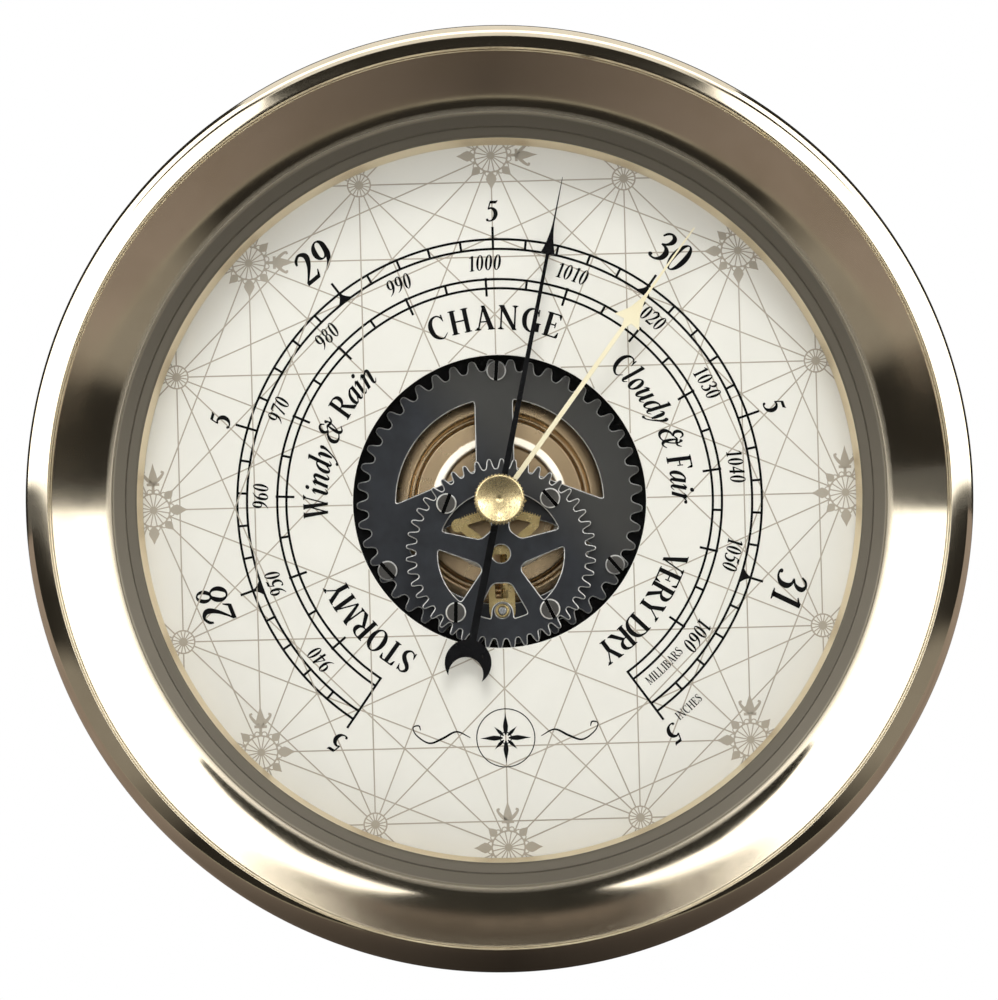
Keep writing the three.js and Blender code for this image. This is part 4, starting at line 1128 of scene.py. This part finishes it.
def print_scales():
    ink = Ribbons("dial_scales", INK_BLACK, 0.035)
    for scale in (INCHES, MILLIBARS):
        for radius in (scale["inner"], scale["outer"]):
            ink.ring(radius, SCALE_LINE, -SCALE_END, SCALE_END)
    for end in (-SCALE_END, SCALE_END):
        radial(ink, end, MILLIBARS["inner"] - SCALE_LINE / 2, 47.9)
    for tenth in range(275, 316):
        angle = inch_angle(tenth / 10)
        if tenth % 10 == 0:
            steps = 8
            for side in (-1, 1):
                pairs = []
                for i in range(steps + 1):
                    t = i / steps
                    radius = INCHES["inner"] + (INCHES["outer"] - INCHES["inner"]) * t
                    half = 1.3 * (1 - t) ** 1.8 + SCALE_LINE / 2
                    edge = angle + side * math.degrees(half / radius)
                    pairs.append((clock(radius, angle), clock(radius, edge)))
                ink.strip(pairs)
            radial(ink, angle, INCHES["outer"], 48.3)
        elif tenth % 5 == 0 and abs(angle) < SCALE_END - 1:
            radial(ink, angle, INCHES["inner"], 48.2)
        elif abs(angle) < SCALE_END - 1:
            radial(ink, angle, INCHES["inner"], INCHES["outer"])
    for five in range(188, 213):
        pressure = five * 5
        angle = millibar_angle(pressure)
        if abs(angle) > SCALE_END - 1:
            continue
        inner, outer = MILLIBARS["inner"], MILLIBARS["outer"]
        if pressure % 10 == 0:
            inner, outer = inner - 1.4, outer + 0.3
        radial(ink, angle, inner, outer)
    ink.build()


def print_words():
    ink = Ribbons("dial_lettering", INK_BLACK, 0.035)
    for inches in (28, 29, 30, 31):
        lettering(ink, str(inches), inch_angle(inches), 53.2, 5.5, 0.0, 0.10, 1.2, weight=1.3)
    for half in (27.5, 28.5, 29.5, 30.5, 31.5):
        angle = inch_angle(half)
        lettering(ink, "5", angle, 51.0, 3.6, 0.0, 0.05, 1.2, weight=1.4)
    for pressure in range(940, 1061, 10):
        lettering(ink, str(pressure), millibar_angle(pressure), 42.0, 2.7, 0.02, 0.12, 1.05, weight=1.4)
    words = [
        ("STORMY", -132.5, 32.5, 4.1, 36, 0.0),
        ("Windy & Rain", -68.5, 32.3, 4.2, 51, 0.22),
        ("CHANGE", 0.0, 32.3, 4.2, 43, 0.0),
        ("Cloudy & Fair", 66.5, 32.3, 4.2, 51, 0.22),
        ("VERY DRY", 128.0, 32.5, 4.1, 40, 0.0),
    ]
    for text, middle, radius, height, span, slant in words:
        wide = 1.0 if slant else 1.12
        lettering(ink, text, middle, radius, height, 0.08, slant, wide, stretch=span, weight=1.3)
    lettering(ink, "MILLIBARS", 136.5, 40.9, 1.55, 0.05, 0.0, 0.9, outward_feet=True)
    lettering(ink, "INCHES", 138.9, 49.0, 1.5, 0.05, 0.0, 0.9, outward_feet=True)
    ink.build()


CHART = {"nodes": 16, "radius": 60.7, "edge": 64.9, "line": 0.24, "rose": 2.9, "rosette": 2.0}
NORTH = {0: 90, 2: 0, 4: 0, 6: 0, 8: 0, 10: 0, 12: 0, 14: 90}  # which way each rose's lily points


def chart_chords(ink):
    """Straight lines that join every second node, broken by the nodes' own circles and by the dial's
    opening, and run on to the edge of the dial."""
    count = CHART["nodes"]
    nodes = [Vector(clock(CHART["radius"], i * 360 / count)) for i in range(count)]
    rings = [CHART["rose"] if i in NORTH else CHART["rosette"] for i in range(count)]
    hole = APERTURE + 0.15
    for i, a in enumerate(nodes):
        for j in range(i + 2, count, 2):
            along = (nodes[j] - a).normalized()
            nearest = a - along * a.dot(along)
            half = (nodes[j] - a).length / 2
            rim = math.sqrt(CHART["edge"] ** 2 - nearest.length_squared)
            stretches = [(-rim, -half - rings[i]), (half + rings[j], rim)]
            if nearest.length < hole:
                near = math.sqrt(hole ** 2 - nearest.length_squared)
                stretches += [(-half + rings[i], -near), (near, half - rings[j])]
            else:
                stretches.append((-half + rings[i], half - rings[j]))
            for start, end in stretches:
                if end - start > 0.2:
                    ink.line(nearest + along * start, nearest + along * end, CHART["line"])


def petal(ink, centre, degrees, start, end, width):
    """A pointed leaf from `start` to `end` along a clock direction."""
    along = Vector(clock(1, degrees))
    across = Vector((along.y, -along.x))
    shape = [(0.0, 0.25), (0.2, 0.8), (0.4, 1.0), (0.6, 0.7), (0.8, 0.3), (1.0, 0.04)]
    pairs = []
    for share, wide in shape:
        middle = Vector(centre) + along * (start + (end - start) * share)
        pairs.append((middle + across * width * wide / 2, middle - across * width * wide / 2))
    ink.strip(pairs)


def fleur(ink, centre, degrees, start):
    """A small lily: a middle leaf, two curled side leaves and a cross band."""
    petal(ink, centre, degrees, start + 1.0, start + 5.2, 1.5)
    along = Vector(clock(1, degrees))
    across = Vector((along.y, -along.x))
    foot = Vector(centre) + along * start
    for side in (-1, 1):
        knots = [(0.0, 1.5, 0.40), (0.8, 2.2, 0.60), (1.5, 3.0, 0.50), (1.8, 3.6, 0.38), (1.4, 3.75, 0.40)]
        for pairs, closed in (swash(*[(side * x, y, w) for x, y, w in knots]),):
            ink.strip([tuple(foot + across * p.x + along * p.y for p in pair) for pair in pairs], closed)
    ink.line(foot + along * 1.5 - across * 1.1, foot + along * 1.5 + across * 1.1, 0.5)
    ink.line(foot, foot + along * 1.4, 0.5)


def rosette(ink, centre, radius, spokes, hub):
    ink.ring(radius, 0.26, centre=centre, steps=40)
    ink.ring(hub * 0.55, hub * 1.1, centre=centre, steps=20)
    for i in range(spokes):
        angle = (i + 0.5) * 360 / spokes
        x, z = clock(1, angle)
        start = (centre[0] + x * hub, centre[1] + z * hub)
        end = (centre[0] + x * radius, centre[1] + z * radius)
        ink.line(start, end, 0.20)


def rose(ink, centre, north):
    rosette(ink, centre, CHART["rose"], 16, 0.6)
    for i in range(16):
        angle = (i + 0.5) * 22.5
        x, z = clock(3.2, angle)
        ink.ring(0.45, 0.2, centre=(centre[0] + x, centre[1] + z), steps=10)
    for quarter in (90, 180, 270):
        petal(ink, centre, north + quarter, 2.9, 6.0, 1.9)
    for diagonal in (45, 135, 225, 315):
        petal(ink, centre, north + diagonal, 2.9, 5.0, 1.5)
    fleur(ink, centre, north, 3.0)


def print_chart():
    ink = Ribbons("dial_chart", INK_CHART, 0.015)
    chart_chords(ink)
    for i in range(CHART["nodes"]):
        centre = clock(CHART["radius"], i * 360 / CHART["nodes"])
        if i in NORTH:
            rose(ink, centre, NORTH[i])
        else:
            rosette(ink, centre, CHART["rosette"], 16, 0.7)
    ink.build()


def print_ornament():
    """A plain eight-pointed star between two flourishes, low on the dial."""
    ink = Ribbons("dial_ornament", INK_BLACK, 0.035)
    centre = clock(41.5, 180)
    for i in range(8):
        petal(ink, centre, i * 45, 0.5, 4.4 if i % 2 == 0 else 2.8, 0.9 if i % 2 == 0 else 0.6)
    ink.ring(1.0, 0.2, centre=centre, steps=24)
    ink.ring(5.1, 0.18, centre=centre, steps=48)
    for side in (-1, 1):
        pairs, closed = swash(*[(side * x, z, w) for x, z, w in [
            (6.2, 0.2, 0.12), (8.6, 1.3, 0.30), (11.0, 0.2, 0.38), (13.4, -0.6, 0.30), (15.6, 0.8, 0.22),
            (16.2, 2.2, 0.20), (15.2, 2.5, 0.26), (14.9, 1.7, 0.14)]])
        ink.strip([tuple(Vector((p.x, p.y + centre[1])) for p in pair) for pair in pairs], closed)
    ink.build()


# ---------------------------------------------------------------- CAD nodes that stay

CARRIED = {
    BRASS: ["dial_foot_1", "dial_foot_2", "dial_foot_3", "frame_post_1", "frame_post_2", "frame_post_3",
            "front_pillar_1", "front_pillar_2", "front_pillar_3", "front_pillar_4", "base_plate",
            "hand_arbor_bush", "sector_bush", "capsule_post", "capsule_base_stud", "rocking_shaft",
            "drive_arm", "capsule_arm", "rocker_bracket_upper", "rocker_bracket_lower", "sector",
            "hairspring_collet", "hand_bush", "hairspring_stud", "set_arbor"],
    STEEL: ["back_cover_screw_1", "back_cover_screw_2", "back_cover_screw_3", "capsule_nut",
            "rocker_pivot_screw_upper", "rocker_pivot_screw_lower", "sector_arbor", "hand_arbor",
            "hairspring", "set_spring_washer", "adjusting_screw"],
}


def soften(node, width):
    """Rounds a CAD node's edges with modifiers, leaving its mesh alone."""
    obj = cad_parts[node]
    joined = obj.modifiers.new("weld", "WELD")
    joined.merge_threshold = 1e-6
    round_edge = obj.modifiers.new("edges", "BEVEL")
    round_edge.width = width * MM
    round_edge.segments = 2
    round_edge.limit_method = "ANGLE"
    round_edge.angle_limit = math.radians(35)
    round_edge.harden_normals = True


def carry_nodes():
    for material, names in CARRIED.items():
        for name in names:
            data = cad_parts[name].data
            data.materials.clear()
            data.materials.append(material)
            soften(name, 0.05 if name in ("hairspring", "sector") else 0.09)


# ---------------------------------------------------------------- studio (lengths in metres)

FLOOR_Z = cad_low.z - 0.0006
FLOOR_HALF = 3.0
BOARD_FRONT = 0.066  # the brown board that the case mirrors ends this far in front of the wall
MIRROR_DARK, MIRROR_GREY = (0.022, 0.020, 0.017), (0.27, 0.25, 0.22)
BOARD_TINT, BOARD_EDGE = (1.235, 1.03, 0.92), (0.34, 0.32, 0.26)
WHITE_LIGHT, CREAM_LIGHT = (1.0, 0.99, 0.97), (0.95, 0.93, 0.90)
PANEL_STRENGTH = 2.2

# Each light stands at a place and has a size and a power in watts.
ROOM_LIGHTS = {"key": ((0.0, -0.95, 0.85), 0.55, 9.0), "fill": ((0.0, -1.4, 0.05), 0.9, 4.5)}
WORKS_LIGHTS = {
    "works_front": ((0.0, -1.6, 0.10), 1.2, 2.2), "works_top": ((0.0, -0.9, 0.75), 0.35, 2.0),
    "works_left": ((-0.85, -0.9, 0.15), 0.30, 1.0), "works_right": ((0.85, -0.9, 0.30), 0.40, 1.6),
}
# Degrees that the camera looks up and is rolled by, and the width it sees at its target.
CAMERA = {"distance": 2.8, "view_width": 0.1741, "below": 1.4, "roll": 1.5,
          "target": (-0.0001, -0.042, -0.00027)}
CAMERA_SENSOR = 36.0

SIDE_PANELS = {"panel_left": (-1, 0.08), "panel_right": (1, 0.03)}  # side, height of the light's lower end
# From where to where in front of the wall (negative y) each part of the top panel reaches.
TOP_PANELS = {"front": (-0.58, -0.25), "middle": (-0.25, -0.03), "back": (-0.03, 1.2)}
# Two dark cards over the case, seen by the lower dish. Half of each outline: how far it reaches
# aside, and from where to where in front of the wall.
CARD_HEIGHT = 0.5
CARDS = {
    "card": [(0.0, 0.055, 0.145), (0.10, 0.055, 0.135), (0.15, 0.057, 0.103), (0.20, 0.066, 0.090),
             (0.29, 0.073, 0.084), (0.40, 0.0785, 0.0795)],
    "card_outer": [(0.0, 0.135, 0.250), (0.10, 0.127, 0.250), (0.29, 0.122, 0.250), (0.45, 0.155, 0.250),
                   (0.58, 0.200, 0.250)],
}


def sheet(name, corners, material):
    """A flat piece of the stage."""
    mesh = bpy.data.meshes.new(name)
    mesh.from_pydata(corners, [], [tuple(range(len(corners)))])
    mesh.materials.append(material)
    obj = add_object(name, mesh)
    return obj


def panel(name, corners, material):
    """A lit studio panel that only mirror-like surfaces see."""
    obj = sheet(name, corners, material)
    for ray in ("camera", "diffuse", "transmission", "shadow", "volume_scatter"):
        setattr(obj, "visible_" + ray, False)


def emitter(name, colour, strength):
    s = Shader(name)
    s.output(s.emission(rgb(*colour), strength))
    return s.material


def side_panel_material(name, low):
    """White light that turns to a dim grey, with a soft edge, below the height `low`."""
    s = Shader(name)
    parts = s.split(s.node("NewGeometry").outputs["Position"])
    streaks = s.times(s.noise(parts[1], 9.0, 4.0, 0.7, "1D"), 0.02)
    strength = s.ramp(s.plus(parts[2], streaks), low, low + 0.02, 0.11, PANEL_STRENGTH)
    s.output(s.emission(rgb(*WHITE_LIGHT), strength))
    return s.material


def card_material():
    """A dark card with a brown stripe that only the lower dish, far from it, can see."""
    s = Shader("panel_lens")
    depth = s.times(s.split(s.node("NewGeometry").outputs["Position"])[1], -1.0)
    stripe = s.window(depth, 0.07225, 0.08275, 0.00125)
    card = s.emission(s.blend(stripe, rgb(0.020, 0.019, 0.016), rgb(0.20, 0.165, 0.14)))
    far = s.math("GREATER_THAN", s.node("LightPath").outputs["Ray Length"], CARD_HEIGHT + 0.01)
    s.output(s.mixed(far, s.node("BsdfTransparent").outputs[0], card))
    return s.material


def make_panels():
    aside, back, front, low_end, high = 1.0, 0.5, -3.4, -0.02, 1.85
    for name, (side, low) in SIDE_PANELS.items():
        x = side * aside
        corners = [(x, back, low_end), (x, front, low_end), (x, front, high), (x, back, high)]
        panel(name, corners, side_panel_material(name + "_light", low))
    cream = emitter("panel_cream", CREAM_LIGHT, 0.95)
    white = emitter("panel_white", WHITE_LIGHT, PANEL_STRENGTH)
    half, top = 0.6, 1.0
    for name, (near, far) in TOP_PANELS.items():
        corners = [(-half, near, top), (half, near, top), (half, far, top), (-half, far, top)]
        panel("panel_top_" + name, corners, white if name == "middle" else cream)
    for name, half_outline in CARDS.items():
        outline = [(x, near) for x, near, _ in half_outline]
        outline += [(x, far) for x, _, far in reversed(half_outline)]
        outline += [(-x, far) for x, _, far in half_outline[1:]]
        outline += [(-x, near) for x, near, _ in reversed(half_outline[1:])]
        panel("panel_lens_" + name, [(x, -depth, CARD_HEIGHT) for x, depth in outline], card_material())


def floor_material():
    """A pale floor; the polished case sees a brown board with a lit front edge in its place."""
    s = Shader("studio_floor")
    position = s.node("NewGeometry").outputs["Position"]
    parts = s.split(position)
    light_path = s.node("LightPath").outputs
    aside = s.math("ABSOLUTE", parts[0])
    ahead = s.times(parts[1], -1.0)
    front = s.plus(BOARD_FRONT, s.times(aside, 0.014))
    on_board = s.math("LESS_THAN", ahead, front)
    edge = s.times(s.math("GREATER_THAN", ahead, front), s.math("LESS_THAN", ahead, s.plus(front, 0.002)))
    # The board lies in the case's own shade under its middle and brightens to the sides.
    open_share = s.minus(1.0, s.math("EXPONENT", s.times(aside, -1 / 0.075)))
    reach_light = s.plus(0.065, s.times(open_share, 0.195))
    # Painted contact shade: where a mirror ray meets the board within 5 cm, the board is darker.
    close = s.ramp(light_path["Ray Length"], 0.0, 0.05, 0.3, 1.0)
    grain = s.ramp(s.noise(position, 14.0, 4.0), 0.3, 0.7, 0.9, 1.1)
    board_light = s.times(s.times(reach_light, close), grain)
    board = s.node("VectorMath", {0: BOARD_TINT, "Scale": board_light}, operation="SCALE").outputs[0]
    to_side = s.times(s.ramp(aside, 0.08, 0.12, 0.0, 1.0), s.ramp(aside, 0.24, 0.30, 1.0, 0.0))
    table = s.blend(to_side, rgb(*MIRROR_DARK), rgb(*MIRROR_GREY))
    mirror_side = s.emission(s.blend(edge, s.blend(on_board, table, board), rgb(*BOARD_EDGE)))
    pale = s.node("BsdfPrincipled", {"Base Color": rgb(0.93, 0.92, 0.90), "Roughness": 0.7}).outputs[0]
    lit = s.node("AddShader", {0: pale, 1: s.emission(rgb(1, 1, 1), 0.35)}).outputs[0]
    # Seen at a grazing angle it is as white as what lies behind it, so that no horizon shows.
    camera_side = s.mixed(s.ramp(s.slope(), 0.03, 0.2, 0.0, 1.0), s.emission(rgb(1, 1, 1)), lit)
    s.output(s.mixed(light_path["Is Glossy Ray"], camera_side, mirror_side))
    return s.material


def area_light(name, location, size, power, only=None):
    """A square light aimed at the dial. One made for `only` a collection is mirrored by its metal;
    the others light paint and paper and leave no mirror image."""
    light = bpy.data.lights.new(name, "AREA")
    light.size = size
    light.energy = power
    obj = add_object(name, light)
    obj.location = location
    obj.rotation_euler = (Vector((0, -0.02, 0)) - Vector(location)).to_track_quat("-Z", "Y").to_euler()
    obj.visible_camera = False
    obj.visible_glossy = only is not None
    if only:
        obj.light_linking.receiver_collection = only


def make_lights():
    """Soft light for all, and lights for the works behind the dial's opening and for the knob."""
    for name, light in ROOM_LIGHTS.items():
        area_light(name, *light)
    works = bpy.data.collections.new("works")
    for names in CARRIED.values():
        for name in names:
            works.objects.link(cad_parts[name])
    for name in ("main_plate_cut", "front_plate_cut", "capsule_rear", "capsule_skin", "knob_knurled"):
        works.objects.link(bpy.data.objects[name])
    for node in SCREW_SLOTS:
        works.objects.link(bpy.data.objects[node + "_head"])
    for name, light in WORKS_LIGHTS.items():
        area_light(name, *light, works)


def make_world():
    """White to the camera, dark to mirrors, soft light for the rest."""
    world = bpy.data.worlds.new("studio")
    bpy.context.scene.world = world
    s = Shader("studio", world)
    light_path = s.node("LightPath").outputs
    seen, mirrored, soft = (
        s.node("Background", {"Color": rgb(*colour), "Strength": strength}).outputs[0]
        for colour, strength in (((1, 1, 1), 1.0), (MIRROR_DARK, 1.0), (WHITE_LIGHT, 0.36)))
    unseen = s.mixed(light_path["Is Glossy Ray"], soft, mirrored)
    s.output(s.mixed(light_path["Is Camera Ray"], unseen, seen), "OutputWorld")


def make_camera():
    data = bpy.data.cameras.new("camera")
    data.sensor_width = CAMERA_SENSOR
    data.lens = CAMERA_SENSOR * CAMERA["distance"] / CAMERA["view_width"]
    data.clip_start, data.clip_end = 0.05, 50.0
    camera = add_object("camera", data)
    below = math.radians(CAMERA["below"])
    back = Vector((0, -math.cos(below), -math.sin(below)))
    camera.location = Vector(CAMERA["target"]) + back * CAMERA["distance"]
    camera.rotation_mode = "QUATERNION"
    roll = Quaternion((0, 0, 1), math.radians(-CAMERA["roll"]))
    camera.rotation_quaternion = (-back).to_track_quat("-Z", "Y") @ roll
    bpy.context.scene.camera = camera


def make_studio():
    make_panels()
    corners = [(x * FLOOR_HALF, y * FLOOR_HALF, FLOOR_Z) for x, y in ((-1, -1), (1, -1), (1, 1), (-1, 1))]
    sheet("floor", corners, floor_material())
    make_lights()
    make_world()
    make_camera()
    bpy.context.scene.view_settings.view_transform = "Standard"


make_case()
make_back()
make_movement()
make_hands()
print_chart()
print_scales()
print_words()
print_ornament()
carry_nodes()
make_studio()
